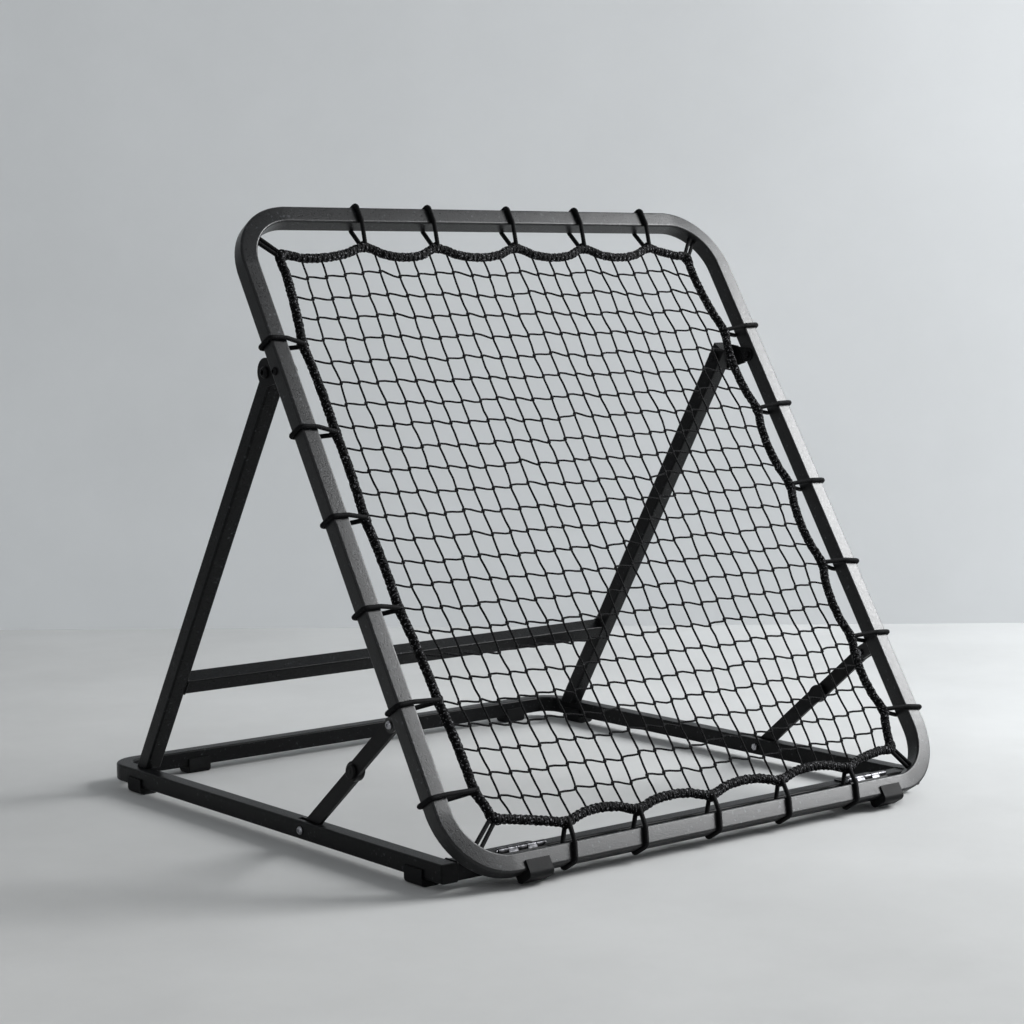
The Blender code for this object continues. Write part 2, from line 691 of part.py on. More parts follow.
def make_leaf(name, first, reach, parent, pin, turn):
    """A flat with fingers to its own knuckles, laid in XY behind the pin and then turned."""
    drop = HINGE_STEP - HINGE_BARREL_RADIUS + HINGE_LEAF / 2
    pivot = new_datum(name + "_pin", parent, pin, turn)
    mesh = plate_mesh(name, [leaf_outline(reach)], HINGE_LEAF, "Z")
    leaf = new_part(name, mesh, BLACK_STEEL, pivot, (0.0, 0.0, drop))
    spans = knuckle_spans(first)
    length = spans[0][1] - spans[0][0]
    centres = [(start + end) / 2 for start, end in spans]
    finger = HINGE_BARREL_RADIUS + HINGE_KNUCKLE_GAP + WELD_DEPTH
    size = (length - 2 * HINGE_STEP, finger, HINGE_LEAF - HINGE_STEP)
    fingers = box_mesh(name + "_fingers", size, centres)
    weld(leaf, new_cutter(name + "_fingers", fingers, pivot, (0.0, finger / 2, drop)))
    knuckles = rod_mesh(name + "_knuckles", HINGE_BARREL_RADIUS, length, centres)
    weld(leaf, new_cutter(name + "_knuckles", knuckles, pivot, (0.0, 0.0, 0.0)))
    bore = rod_mesh(name + "_bore", HINGE_PIN_RADIUS + HOLE_CLEARANCE, 2 * HINGE_LENGTH)
    cut(leaf, new_cutter(name + "_bore", bore, pivot, (0.0, 0.0, 0.0)))


def make_hinge(side, sign):
    across = sign * (NET_WIDTH / 2 - HINGE_SET_IN)
    base_reach = BASE_FRONT + TUBE - HINGE_LEAF_MARGIN - PIN_Y
    make_leaf("hinge_leaf_base_" + side, 0, base_reach, ROOT, (across, PIN_Y, PIN_Z), 0.0)
    net_reach = PIN_HEIGHT - FOOT_COVER - GAP
    net_pin = (across, PIN_DEPTH, PIN_HEIGHT)
    make_leaf("hinge_leaf_net_" + side, 1, net_reach, NET_DATUM, net_pin, -math.pi / 2)
    half = HINGE_LENGTH / 2 + GAP
    profile = [
        (0.0, half + HINGE_PIN_HEAD), (HINGE_PIN_HEAD_RADIUS, half + HINGE_PIN_HEAD),
        (HINGE_PIN_HEAD_RADIUS, half), (HINGE_PIN_RADIUS, half), (HINGE_PIN_RADIUS, -half),
        (HINGE_PIN_HEAD_RADIUS, -half), (HINGE_PIN_HEAD_RADIUS, -half - HINGE_PIN_HEAD),
        (0.0, -half - HINGE_PIN_HEAD),
    ]
    make_bolt("hinge_pin_" + side, profile, ZINC, ROOT, (across, PIN_Y, PIN_Z), sign)


# ---------------------------------------------------------------- folding side stays

def make_stay(side, sign):
    """Two bars that lie in a straight line at rest and meet at the knuckle."""
    hole = circle((0.0, 0.0), BOLT_RADIUS + HOLE_CLEARANCE)
    upper = plate_mesh("stay_upper_" + side, [eye_bar_outline(STAY_UPPER), hole], STAY_BAR, "X")
    top = (sign * STAY_OUTER_LANE, STAY_TOP_DEPTH, STAY_TOP_HEIGHT)
    bar = new_part("stay_upper_" + side, upper, BLACK_STEEL, NET_DATUM, top, STAY_SLOPE + NET_LEAN)
    lower = plate_mesh("stay_lower_" + side, [eye_bar_outline(STAY_LOWER), hole], STAY_BAR, "X")
    foot = (sign * STAY_INNER_LANE, STAY_FOOT.x, STAY_FOOT.y)
    new_part("stay_lower_" + side, lower, BLACK_STEEL, ROOT, foot, STAY_SLOPE + math.pi)
    step = KNUCKLE_HEIGHT / 4
    profile = [
        (0.0, KNUCKLE_HEIGHT + KNUCKLE_RIVET),
        (KNUCKLE_RIVET_RADIUS * 0.7, KNUCKLE_HEIGHT + KNUCKLE_RIVET * 0.8),
        (KNUCKLE_RIVET_RADIUS, KNUCKLE_HEIGHT),
        (KNUCKLE_RADIUS - step, KNUCKLE_HEIGHT), (KNUCKLE_RADIUS, KNUCKLE_HEIGHT - step),
        (KNUCKLE_RADIUS, 0.0), (0.0, 0.0),
    ]
    name = "stay_knuckle_" + side
    seat = (sign * (STAY_BAR / 2 + GAP), STAY_UPPER, 0.0)
    make_bolt(name, profile, BLACK_STEEL, bar, seat, sign)


def make_stay_bolts(side, sign):
    grip = STAY_BAR + 2 * STAY_TAB_PLATE + 4 * GAP
    head = STAY_OUTER_LANE + grip / 2
    profile = bolt_profile(BOLT_RADIUS, BOLT_HEAD_RADIUS, BOLT_HEAD, BOLT_NUT_RADIUS, BOLT_NUT, grip)
    seat = (sign * head, STAY_TOP_DEPTH, STAY_TOP_HEIGHT)
    make_bolt("stay_upper_bolt_" + side, profile, ZINC, NET_DATUM, seat, sign)
    grip = TUBE + 2 * GAP
    profile = bolt_profile(BOLT_RADIUS, BOLT_HEAD_RADIUS, BOLT_HEAD, BOLT_NUT_RADIUS, BOLT_NUT, grip)
    seat = (sign * (BASE_WIDTH / 2 + GAP), STAY_FOOT.x, STAY_FOOT.y)
    make_bolt("stay_lower_bolt_" + side, profile, ZINC, ROOT, seat, sign)


# ---------------------------------------------------------------- feet

def make_feet(side, sign):
    """The saddle feet of one half: one on the net frame and three on the base."""
    along_x = plate_mesh("foot_on_cross_tube", [saddle_outline()], FOOT_LENGTH, "X")
    along_y = plate_mesh("foot_on_side_tube", [saddle_outline()], FOOT_LENGTH, "Y")
    seat = (sign * (NET_WIDTH / 2 - NET_FOOT_SET_IN), TUBE / 2, 0.0)
    new_part("net_foot_" + side, along_x, RUBBER, NET_DATUM, seat)
    rear = (sign * (BASE_WIDTH / 2 - REAR_FOOT_SET_IN[side]), BASE_BACK - TUBE / 2, FOOT_PAD)
    new_part("base_rear_foot_" + side, along_x.copy(), RUBBER, ROOT, rear)
    across = sign * (BASE_WIDTH / 2 - TUBE / 2)
    back = BASE_BACK - SIDE_FOOT_SETBACK
    new_part("base_side_foot_" + side, along_y, RUBBER, ROOT, (across, back, FOOT_PAD))
    front = (across, BASE_FRONT + FRONT_FOOT_SETBACK + FOOT_LENGTH / 2, FOOT_PAD)
    new_part("base_front_foot_" + side, along_y.copy(), RUBBER, ROOT, front)


# ---------------------------------------------------------------- net, rope and loops

class Edge:
    """One side of the net frame, seen along its tube's middle line."""

    def __init__(self, start, inward, along, first, pitch, count, tilt=0.0):
        self.start = Vector(start)
        self.inward = Vector(inward)
        self.along = Vector(along)
        self.first = first
        self.pitch = pitch
        self.count = count
        self.tilt = tilt

    def point(self, distance, run):
        """Across and height of a point at a distance inward and a run along the tube."""
        return self.start + self.inward * distance + self.along * run

    def catch(self):
        """The run at which the first loop holds the rope; a tilted loop slants toward it."""
        return self.first + self.tilt * ROPE_DISTANCE / 2

    def rope_distance(self, run):
        """The rope is pulled to the tube at each loop and hangs back between them."""
        wave = math.sin(math.pi * (run - self.catch()) / self.pitch)
        return ROPE_DISTANCE + ROPE_SCALLOP * wave * wave


CROSS_FIRST = -LOOP_PITCH * (LOOPS_ACROSS - 1) / 2
HALF_SPAN = NET_WIDTH / 2 - TUBE / 2
EDGES = {
    "bottom": Edge(
        (0.0, TUBE / 2), (0.0, 1.0), (1.0, 0.0), CROSS_FIRST, LOOP_PITCH, LOOPS_ACROSS, BOTTOM_LOOP_TILT
    ),
    "right": Edge((HALF_SPAN, 0.0), (-1.0, 0.0), (0.0, 1.0), SIDE_LOOP_FIRST, SIDE_LOOP_PITCH, LOOPS_UP),
    "top": Edge(
        (0.0, NET_HEIGHT - TUBE / 2), (0.0, -1.0), (1.0, 0.0),
        CROSS_FIRST + TOP_LOOP_SHIFT, LOOP_PITCH, LOOPS_ACROSS,
    ),
    "left": Edge((-HALF_SPAN, 0.0), (1.0, 0.0), (0.0, 1.0), SIDE_LOOP_FIRST, SIDE_LOOP_PITCH, LOOPS_UP),
}


def rope_run(edge, start, end):
    """Points of the rope along one side between two runs, with one at every loop."""
    step = edge.pitch / ROPE_POINTS_PER_LOOP
    first = math.ceil((start - edge.catch()) / step)
    last = math.floor((end - edge.catch()) / step)
    runs = [edge.catch() + step * index for index in range(first, last + 1)]
    return [edge.point(edge.rope_distance(run), run) for run in runs]


def rope_points():
    """The closed route of the border rope, counter-clockwise from the bottom left."""
    inset = TUBE + ROPE_INSET + ROPE_SCALLOP / 2 + ROPE_CORNER
    across = NET_WIDTH / 2 - inset
    low = inset
    high = NET_HEIGHT - inset
    corner = ROPE_CORNER * (1.0 - math.sqrt(0.5)) + ROPE_SCALLOP / 4
    near = across + ROPE_CORNER - corner
    route = rope_run(EDGES["bottom"], -across, across)
    route.append(Vector((near, low - ROPE_CORNER + corner)))
    route += rope_run(EDGES["right"], low, high)
    route.append(Vector((near, high + ROPE_CORNER - corner)))
    route += reversed(rope_run(EDGES["top"], -across, across))
    route.append(Vector((-near, high + ROPE_CORNER - corner)))
    route += reversed(rope_run(EDGES["left"], low, high))
    route.append(Vector((-near, low - ROPE_CORNER + corner)))
    return [(point.x, 0.0, point.y) for point in route]


def make_rope():
    mesh = cord_mesh("border_rope", rope_points(), ROPE_RADIUS)
    new_part("border_rope", mesh, CORD, NET_DATUM, (0.0, TUBE / 2, 0.0))


def make_net():
    """A lattice of twine: a grid whose cells are drawn in, opened and thickened."""
    inset = TUBE + ROPE_INSET + ROPE_SCALLOP + ROPE_RADIUS + NET_ROPE_GAP
    width = NET_WIDTH - 2 * inset
    height = NET_HEIGHT - 2 * inset
    shape = bmesh.new()
    bmesh.ops.create_grid(shape, x_segments=NET_CELLS_ACROSS, y_segments=NET_CELLS_UP, size=0.5)
    corners = [face for face in shape.faces if is_corner(face.calc_center_median())]
    bmesh.ops.delete(shape, geom=corners, context="FACES")
    bmesh.ops.scale(shape, vec=Vector((width, height, 1.0)), verts=shape.verts)
    cells = list(shape.faces)
    bmesh.ops.inset_individual(shape, faces=cells, thickness=TWINE / 2)
    bmesh.ops.delete(shape, geom=cells, context="FACES")
    mesh = finish_mesh("net", shape, AXIS_TURNS["Y"])
    net = new_part("net", mesh, CORD, NET_DATUM, (0.0, TUBE / 2, NET_HEIGHT / 2))
    skin = net.modifiers.new("twine", "SOLIDIFY")
    skin.thickness = TWINE
    skin.offset = 0.0


def is_corner(centre):
    """Whether a grid cell is one of the four at the net's corners."""
    edge_x = 0.5 - 1.0 / NET_CELLS_ACROSS
    edge_y = 0.5 - 1.0 / NET_CELLS_UP
    return abs(centre.x) > edge_x and abs(centre.y) > edge_y


def loop_section():
    """Route of an elastic loop round the tube and the rope: (inward, depth) from the tube's middle."""
    wrap = LOOP_RADIUS + LOOP_CLEARANCE
    flat = TUBE / 2 - TUBE_EDGE
    corners = [((-flat, -flat), wrap + TUBE_EDGE), ((flat, -flat), wrap + TUBE_EDGE)]
    corners += [((ROPE_DISTANCE, 0.0), wrap + ROPE_RADIUS)]
    corners += [((flat, flat), wrap + TUBE_EDGE), ((-flat, flat), wrap + TUBE_EDGE)]
    return belt(corners, LOOP_STEP)


def make_loops(name, edge):
    section = loop_section()
    middle = ROPE_DISTANCE / 2
    for index in range(edge.count):
        centre = edge.first + edge.pitch * index
        points = []
        for inward, depth in section:
            spot = edge.point(inward, centre + edge.tilt * (inward - middle))
            points.append((spot.x, depth, spot.y))
        loop = "bungee_loop_%s_%d" % (name, index + 1)
        new_part(loop, cord_mesh(loop, points, LOOP_RADIUS), CORD, NET_DATUM, (0.0, TUBE / 2, 0.0))


# ---------------------------------------------------------------- assembly

make_net_frame()
make_base_frame()
make_prop_frame()
for side_name, side_sign in SIDES.items():
    make_end_cap(side_name, side_sign)
    make_bracket(side_name, side_sign)
    make_bracket_bolt(side_name, side_sign)
    make_pivot_bolt(side_name, side_sign)
    make_hinge(side_name, side_sign)
    make_stay(side_name, side_sign)
    make_stay_bolts(side_name, side_sign)
    make_feet(side_name, side_sign)
make_rope()
make_net()
for edge_name, edge_of_frame in EDGES.items():
    make_loops(edge_name, edge_of_frame)
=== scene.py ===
# %% [markdown]
# # A pitch back rebounder, piece by piece
#
# The real object is a ball rebounder for the garden. A ring of square steel tube leans
# back on a U-shaped base. A knotted net hangs inside the ring on elastic loops. A rear
# prop frame and two folding side stays hold the ring up.
#
# The solid model of the object is loaded first. It fixes where every piece is and which
# pieces move together. This lesson then models each visible piece again in more detail,
# gives it a finish, and lets it ride on its body of the solid model.

# %% Load the solid model
import json
import math
import random
from contextlib import contextmanager

import bmesh
import bpy
from mathutils import Matrix, Vector, noise


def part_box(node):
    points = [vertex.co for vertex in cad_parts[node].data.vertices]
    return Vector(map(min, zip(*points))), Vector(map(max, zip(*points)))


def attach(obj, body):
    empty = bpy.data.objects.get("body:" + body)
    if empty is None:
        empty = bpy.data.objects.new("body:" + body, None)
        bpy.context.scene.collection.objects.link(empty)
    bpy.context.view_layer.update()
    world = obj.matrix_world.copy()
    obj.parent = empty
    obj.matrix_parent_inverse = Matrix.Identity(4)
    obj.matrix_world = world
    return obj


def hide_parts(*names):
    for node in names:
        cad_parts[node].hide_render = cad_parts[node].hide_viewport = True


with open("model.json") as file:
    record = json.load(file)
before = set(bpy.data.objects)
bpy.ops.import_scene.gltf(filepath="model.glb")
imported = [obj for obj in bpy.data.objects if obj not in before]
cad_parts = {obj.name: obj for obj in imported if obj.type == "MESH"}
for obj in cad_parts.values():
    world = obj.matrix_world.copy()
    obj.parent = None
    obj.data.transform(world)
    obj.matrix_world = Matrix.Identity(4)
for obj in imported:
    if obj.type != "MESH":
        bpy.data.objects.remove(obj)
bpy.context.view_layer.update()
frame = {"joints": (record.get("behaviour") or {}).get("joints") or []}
JOINTS = {joint["name"]: joint for joint in frame["joints"]}

# %% [markdown]
# ## The camera
#
# A camera is placed by where it stands, which way it looks and how long its lens is.
# Yaw turns it from the object's back direction towards its right side, pitch tips it
# down, and roll leans the picture. The three directions together make its rotation.

# %% Camera
CAMERA_PLACE = (-2.3374, -2.9270, 0.8245)
CAMERA_YAW = math.radians(38.56)
CAMERA_PITCH = math.radians(5.49)
CAMERA_ROLL = math.radians(-0.61)
CAMERA_LENS = 80.6


def look_matrix(place, yaw, pitch, roll):
    """A camera matrix from its place and three angles."""
    forward = Vector((
        math.sin(yaw) * math.cos(pitch), math.cos(yaw) * math.cos(pitch), -math.sin(pitch),
    ))
    right = Vector((math.cos(yaw), -math.sin(yaw), 0.0))
    up = right.cross(forward)
    level = math.cos(roll) * right + math.sin(roll) * up
    tall = math.cos(roll) * up - math.sin(roll) * right
    turn = Matrix((level, tall, -forward)).transposed().to_4x4()
    return Matrix.Translation(place) @ turn


bpy.ops.object.camera_add()
camera = bpy.context.object
camera.name = "studio_camera"
camera.matrix_world = look_matrix(CAMERA_PLACE, CAMERA_YAW, CAMERA_PITCH, CAMERA_ROLL)
camera.data.lens = CAMERA_LENS
camera.data.sensor_width = 36.0
bpy.context.scene.camera = camera
bpy.context.scene.view_settings.view_transform = "Standard"
print("camera at", CAMERA_PLACE, "with a", CAMERA_LENS, "mm lens")

# %% [markdown]
# ## Finishes
#
# Each finish is a small node tree. Constant values go straight onto the shader. Only what
# changes over the surface, such as colour, roughness and bump, comes through nodes. The
# metal and plastic finishes read object coordinates in metres, and the cord finishes read
# the UV map that runs along each cord.

# %% Node helpers
class Finish:
    """A material with short ways to add and join its nodes."""

    def __init__(self, name, **constants):
        self.material = bpy.data.materials.new(name)
        self.material.use_nodes = True
        self.tree = self.material.node_tree
        self.shader = self.tree.nodes["Principled BSDF"]
        for socket, value in constants.items():
            self.shader.inputs[socket.replace("_", " ")].default_value = value

    def add(self, kind, settings=None, **sockets):
        """A new node; keywords are its sockets, a number or another node's output."""
        node = self.tree.nodes.new("ShaderNode" + kind)
        for name, value in (settings or {}).items():
            setattr(node, name, value)
        for name, value in sockets.items():
            key = int(name[1:]) if name[1:].isdigit() else name.replace("_", " ")
            if isinstance(value, bpy.types.NodeSocket):
                self.tree.links.new(value, node.inputs[key])
            else:
                node.inputs[key].default_value = value
        return node

    def place(self):
        return self.add("TexCoord").outputs["Object"]

    def noise(self, vector, scale, detail=2.0, roughness=0.5):
        return self.add(
            "TexNoise", Vector=vector, Scale=scale, Detail=detail, Roughness=roughness
        ).outputs["Fac"]

    def ramp(self, factor, stops):
        """A colour ramp; stops are (position, grey or colour)."""
        node = self.add("ValToRGB", Fac=factor)
        while len(node.color_ramp.elements) < len(stops):
            node.color_ramp.elements.new(0.5)
        for element, (position, colour) in zip(node.color_ramp.elements, stops):
            element.position = position
            if not isinstance(colour, tuple):
                colour = (colour, colour, colour)
            element.color = (*colour, 1.0)
        return node.outputs["Color"]

    def bump(self, height, depth, normal=None):
        node = self.add("Bump", Height=height, Distance=depth, Strength=1.0)
        if normal is not None:
            self.tree.links.new(normal, node.inputs["Normal"])
        return node.outputs["Normal"]

    def wire(self, **sockets):
        """Join outputs to the shader."""
        for name, value in sockets.items():
            self.tree.links.new(value, self.shader.inputs[name.replace("_", " ")])
        return self


# %% [markdown]
# The tubes wear a fine-textured black powder coat. Close up it is an orange peel of grains
# a few millimetres wide that changes its height and its gloss. A few of the smallest grains
# are painted five times paler, painted glints that stand in for highlights. Near the ground
# the coat is worn duller. The base and the prop have the same coat with less shine than
# the net frame.

# %% Powder coat
def make_powder_coat(name, shine, dark, light, gloss):
    """A powder coat whose gloss runs from the first roughness to the second."""
    coat = Finish(name, Specular_IOR_Level=shine)
    place = coat.place()
    grain = coat.noise(place, 400.0, 3.0, 0.7)
    # Painted glints: the palest Voronoi cells get a colour five times paler than the coat, painted
    # highlights.
    painted_glint_cells = coat.add("TexVoronoi", Vector=place, Scale=320.0).outputs["Color"]
    painted_glint = coat.ramp(painted_glint_cells, [(0.84, 0.0), (0.97, 1.0)])
    shade = coat.ramp(grain, [(0.30, dark), (0.72, light)])
    painted_glint_tone = tuple(5.0 * value for value in light) + (1.0,)
    colour = coat.add("Mix", {"data_type": "RGBA"}, _0=painted_glint, _6=shade, _7=painted_glint_tone).outputs[2]
    peel = coat.add(
        "MapRange", Value=grain, From_Min=0.30, From_Max=0.70, To_Min=gloss[0], To_Max=gloss[1]
    ).outputs["Result"]
    height = coat.add("SeparateXYZ", Vector=place).outputs["Z"]
    low = coat.add("MapRange", Value=height, From_Min=0.03, From_Max=0.07, To_Min=0.09, To_Max=0.0)
    worn = coat.add("Math", {"operation": "ADD"}, _0=peel, _1=low.outputs["Result"]).outputs[0]
    return coat.wire(Base_Color=colour, Roughness=worn, Normal=coat.bump(grain, 0.00028)).material


NET_COAT = make_powder_coat(
    "black_powder_coat", 0.42, (0.0020, 0.0021, 0.0024), (0.009, 0.0094, 0.0104), (0.25, 0.42),
)
BASE_COAT = make_powder_coat(
    "dull_powder_coat", 0.14, (0.0016, 0.0017, 0.0020), (0.007, 0.0074, 0.0080), (0.24, 0.38),
)
print("finishes:", NET_COAT.name, BASE_COAT.name)

# %% [markdown]
# The stays, brackets and hinge leaves are smoother black steel, rubbed a little on their
# surface. Most bolts and the pins are zinc plated, with the cloudy spangle of plating. The
# hinge knuckles are dark polished steel, smeared with oil.

# %% Steel finishes
def make_black_steel():
    steel = Finish("black_steel", Specular_IOR_Level=0.14)
    place = steel.place()
    grain = steel.noise(place, 1200.0, 2.0)
    rub = steel.noise(place, 60.0, 4.0, 0.65)
    colour = steel.ramp(rub, [(0.35, (0.0022, 0.0022, 0.0026)), (0.75, (0.006, 0.0062, 0.007))])
    gloss = steel.add("MapRange", Value=rub, To_Min=0.34, To_Max=0.50).outputs["Result"]
    relief = steel.bump(grain, 0.00008)
    return steel.wire(Base_Color=colour, Roughness=gloss, Normal=relief).material


def make_zinc():
    zinc = Finish("zinc", Metallic=1.0)
    place = zinc.place()
    spangle = zinc.add("TexVoronoi", Vector=place, Scale=420.0).outputs["Color"]
    cloud = zinc.noise(place, 260.0, 3.0)
    colour = zinc.ramp(cloud, [(0.25, (0.30, 0.30, 0.32)), (0.75, (0.56, 0.56, 0.58))])
    gloss = zinc.add("MapRange", Value=spangle, To_Min=0.22, To_Max=0.40).outputs["Result"]
    return zinc.wire(Base_Color=colour, Roughness=gloss, Normal=zinc.bump(cloud, 0.00010)).material


def make_oiled_steel():
    """The polished dark steel of the hinge knuckles, smeared with oil."""
    steel = Finish("oiled_steel", Metallic=1.0)
    place = steel.place()
    smear = steel.noise(place, 140.0, 3.0)
    colour = steel.ramp(smear, [(0.35, (0.035, 0.035, 0.037)), (0.70, (0.17, 0.17, 0.18))])
    gloss = steel.add("MapRange", Value=smear, To_Min=0.22, To_Max=0.40).outputs["Result"]
    relief = steel.bump(smear, 0.00005)
    return steel.wire(Base_Color=colour, Roughness=gloss, Normal=relief).material


BLACK_STEEL = make_black_steel()
ZINC = make_zinc()
OILED_STEEL = make_oiled_steel()
print("finishes:", BLACK_STEEL.name, ZINC.name, OILED_STEEL.name)

# %% [markdown]
# Feet and end caps are moulded black plastic with a spark-eroded texture, dusty in patches.

# %% Moulded plastic
def make_plastic():
    plastic = Finish("moulded_plastic", Specular_IOR_Level=0.16)
    place = plastic.place()
    grain = plastic.noise(place, 1400.0, 2.0)
    dust = plastic.noise(place, 45.0, 4.0, 0.6)
    colour = plastic.ramp(dust, [(0.40, (0.003, 0.0032, 0.0036)), (0.80, (0.009, 0.0095, 0.0100))])
    gloss = plastic.add("MapRange", Value=dust, To_Min=0.48, To_Max=0.68).outputs["Result"]
    relief = plastic.bump(grain, 0.00010)
    return plastic.wire(Base_Color=colour, Roughness=gloss, Normal=relief).material


PLASTIC = make_plastic()
print("finish:", PLASTIC.name)

# %% [markdown]
# The cords read a UV map in metres: U runs round the cord and V along it. A woven sleeve is
# two sets of diagonal stripes that cross, so each stripe is a wave on U plus or minus V.
# The colour is painted darker in the grooves between the stitches and lighter on the raised
# stitches, painted shade.
# Pale specks painted into the colour stand in for loose fibres catching the light, a
# painted highlight.

# %% Cord finishes
CORD_MAP = "cord"


def make_cord(name, around, pitch, dark, pale, painted_speck_spread, relief):
    """A woven cord; around is its girth and pitch the length of one stitch, in metres.

    The pair after the pale colour gives how fine the pale specks are and how much of the cord
    they leave bare; the specks are painted highlights of loose fibres catching the light.
    """
    cord = Finish(name, Specular_IOR_Level=0.12)
    run = cord.add("UVMap", {"uv_map": CORD_MAP}).outputs["UV"]
    parts = cord.add("SeparateXYZ", Vector=run)
    heights = []
    for sign in (1.0, -1.0):
        slope = cord.add("Math", {"operation": "MULTIPLY"}, _0=parts.outputs["Y"], _1=sign / pitch)
        turn = cord.add("Math", {"operation": "MULTIPLY"}, _0=parts.outputs["X"], _1=2.0 / around)
        phase = cord.add("Math", {"operation": "ADD"}, _0=slope.outputs[0], _1=turn.outputs[0])
        angle = cord.add("Math", {"operation": "MULTIPLY"}, _0=phase.outputs[0], _1=2 * math.pi)
        heights.append(cord.add("Math", {"operation": "SINE"}, _0=angle.outputs[0]).outputs[0])
    weave = cord.add("Math", {"operation": "MAXIMUM"}, _0=heights[0], _1=heights[1]).outputs[0]
    place = cord.place()
    fibre = cord.noise(place, 1500.0, 2.0, 0.7)
    fine, edge = painted_speck_spread
    # Painted highlight: pale specks where the noise is high stand in for loose fibres catching the
    # light.
    painted_speck = cord.ramp(cord.noise(place, fine, 2.0, 0.6), [(edge, 0.0), (edge + 0.05, 1.0)])
    # Painted shade: the grooves between stitches are darker and the raised stitches up to 2.2 times
    # lighter.
    shade = cord.add("MapRange", Value=weave, From_Min=-0.6, From_Max=1.0).outputs["Result"]
    shade = cord.ramp(shade, [(0.0, dark), (1.0, tuple(2.2 * value for value in dark))])
    colour = cord.add("Mix", {"data_type": "RGBA"}, _0=painted_speck, _6=shade, _7=(*pale, 1.0)).outputs[2]
    gloss = cord.add("MapRange", Value=fibre, To_Min=0.55, To_Max=0.85).outputs["Result"]
    normal = cord.bump(fibre, 0.0003, cord.bump(weave, relief))
    return cord.wire(Base_Color=colour, Roughness=gloss, Normal=normal).material


# The second colour of each cord below is the pale of its specks, a painted highlight.
CROCHET = make_cord(
    "crocheted_rope", 0.0459, 0.0090,
    (0.0015, 0.0015, 0.0018), (0.20, 0.20, 0.21), (330.0, 0.60), 0.0020,
)
ELASTIC = make_cord(
    "elastic_cord", 0.0226, 0.004,
    (0.0016, 0.0016, 0.0019), (0.010, 0.010, 0.011), (620.0, 0.60), 0.0002,
)
TWINE = make_cord(
    "net_twine", 0.0107, 0.005,
    (0.0014, 0.0014, 0.0017), (0.06, 0.06, 0.063), (420.0, 0.64), 0.0004,
)
print("finishes:", CROCHET.name, ELASTIC.name, TWINE.name)

# %% [markdown]
# ## Modelling by hand, in code
#
# The tubes, feet, hinges and bolts are shaped with the same operators that the menus
# offer. Each operator acts on what is selected, so these helpers first put one piece alone
# in hand, and pick its faces or edges by where they are.

# %% Selecting and applying
def let_go():
    bpy.ops.object.select_all(action="DESELECT")


def hold(piece):
    """Select one piece alone and make it the active one."""
    let_go()
    piece.select_set(True)
    bpy.context.view_layer.objects.active = piece


@contextmanager
def editing(piece):
    """Edit mode on one piece for the steps inside the with block."""
    hold(piece)
    bpy.ops.object.mode_set(mode="EDIT")
    yield
    bpy.ops.object.mode_set(mode="OBJECT")


def trim(point, away):
    """In edit mode, cut off and close what lies beyond a plane."""
    bpy.ops.mesh.select_all(action="SELECT")
    bpy.ops.mesh.bisect(plane_co=point, plane_no=away, use_fill=True, clear_outer=True)


def pick(piece, kind, test):
    """In edit mode, select the edges or faces that pass a test; kind is EDGE or FACE."""
    bpy.ops.mesh.select_mode(type=kind)
    bpy.ops.mesh.select_all(action="DESELECT")
    mesh = bmesh.from_edit_mesh(piece.data)
    for item in mesh.edges if kind == "EDGE" else mesh.faces:
        item.select_set(test(item))
    mesh.select_flush_mode()
    bmesh.update_edit_mesh(piece.data)


def middle(edge):
    return (edge.verts[0].co + edge.verts[1].co) / 2


def lies_along(edge, axis):
    """Whether an edge runs along an axis, given as 0, 1 or 2."""
    run = edge.verts[1].co - edge.verts[0].co
    return abs(run[axis]) > 0.99 * run.length


def settle(piece):
    """Put a piece's place, turn and size into its mesh."""
    hold(piece)
    bpy.ops.object.transform_apply(location=True, rotation=True, scale=True)
    return piece


def apply_modifier(piece, kind, **settings):
    hold(piece)
    modifier = piece.modifiers.new("step", kind)
    for name, value in settings.items():
        setattr(modifier, name, value)
    bpy.ops.object.modifier_apply(modifier=modifier.name)
    return piece


def soften(piece, width, segments=2, angle=40.0):
    """Round a piece's sharp edges a little."""
    return apply_modifier(
        piece, "BEVEL", width=width, segments=segments, limit_method="ANGLE",
        angle_limit=math.radians(angle), harden_normals=False,
    )


def join_solid(piece, other, operation="UNION"):
    """Weld another shape to a piece, or cut it out of the piece."""
    apply_modifier(piece, "BOOLEAN", operation=operation, solver="EXACT", object=other)
    bpy.data.objects.remove(other, do_unlink=True)
    return piece


def cut_solid(piece, other):
    return join_solid(piece, other, "DIFFERENCE")


# %% [markdown]
# Everything on the leaning ring is modelled in the ring's own directions: across, depth
# from its front face, and height along its tubes. One matrix then leans it back about the
# hinge. The same idea places the prop's pieces about its pivot.

# %% Places and sizes
TUBE = 0.028
TUBE_CORNER = 0.0034
NET_WIDTH = 1.000
NET_HEIGHT = 1.092
NET_BEND = 0.105
NET_LEAN = math.radians(31.3)
GAP = 0.0003
PIN_DEPTH = 0.0331
PIN_HEIGHT = 0.041877
PIN = Vector(JOINTS["net_frame_tilt"]["pos_m"])
PIVOT = Vector(JOINTS["prop_swing"]["pos_m"])
LEAN_BACK = (
    Matrix.Translation((0.0, PIN.y, PIN.z)) @ Matrix.Rotation(-NET_LEAN, 4, "X")
    @ Matrix.Translation((0.0, -PIN_DEPTH, -PIN_HEIGHT))
)
SIDES = {"left": -1, "right": 1}
RING, BASE, PROP = "net_frame_body", "base", "prop_body"


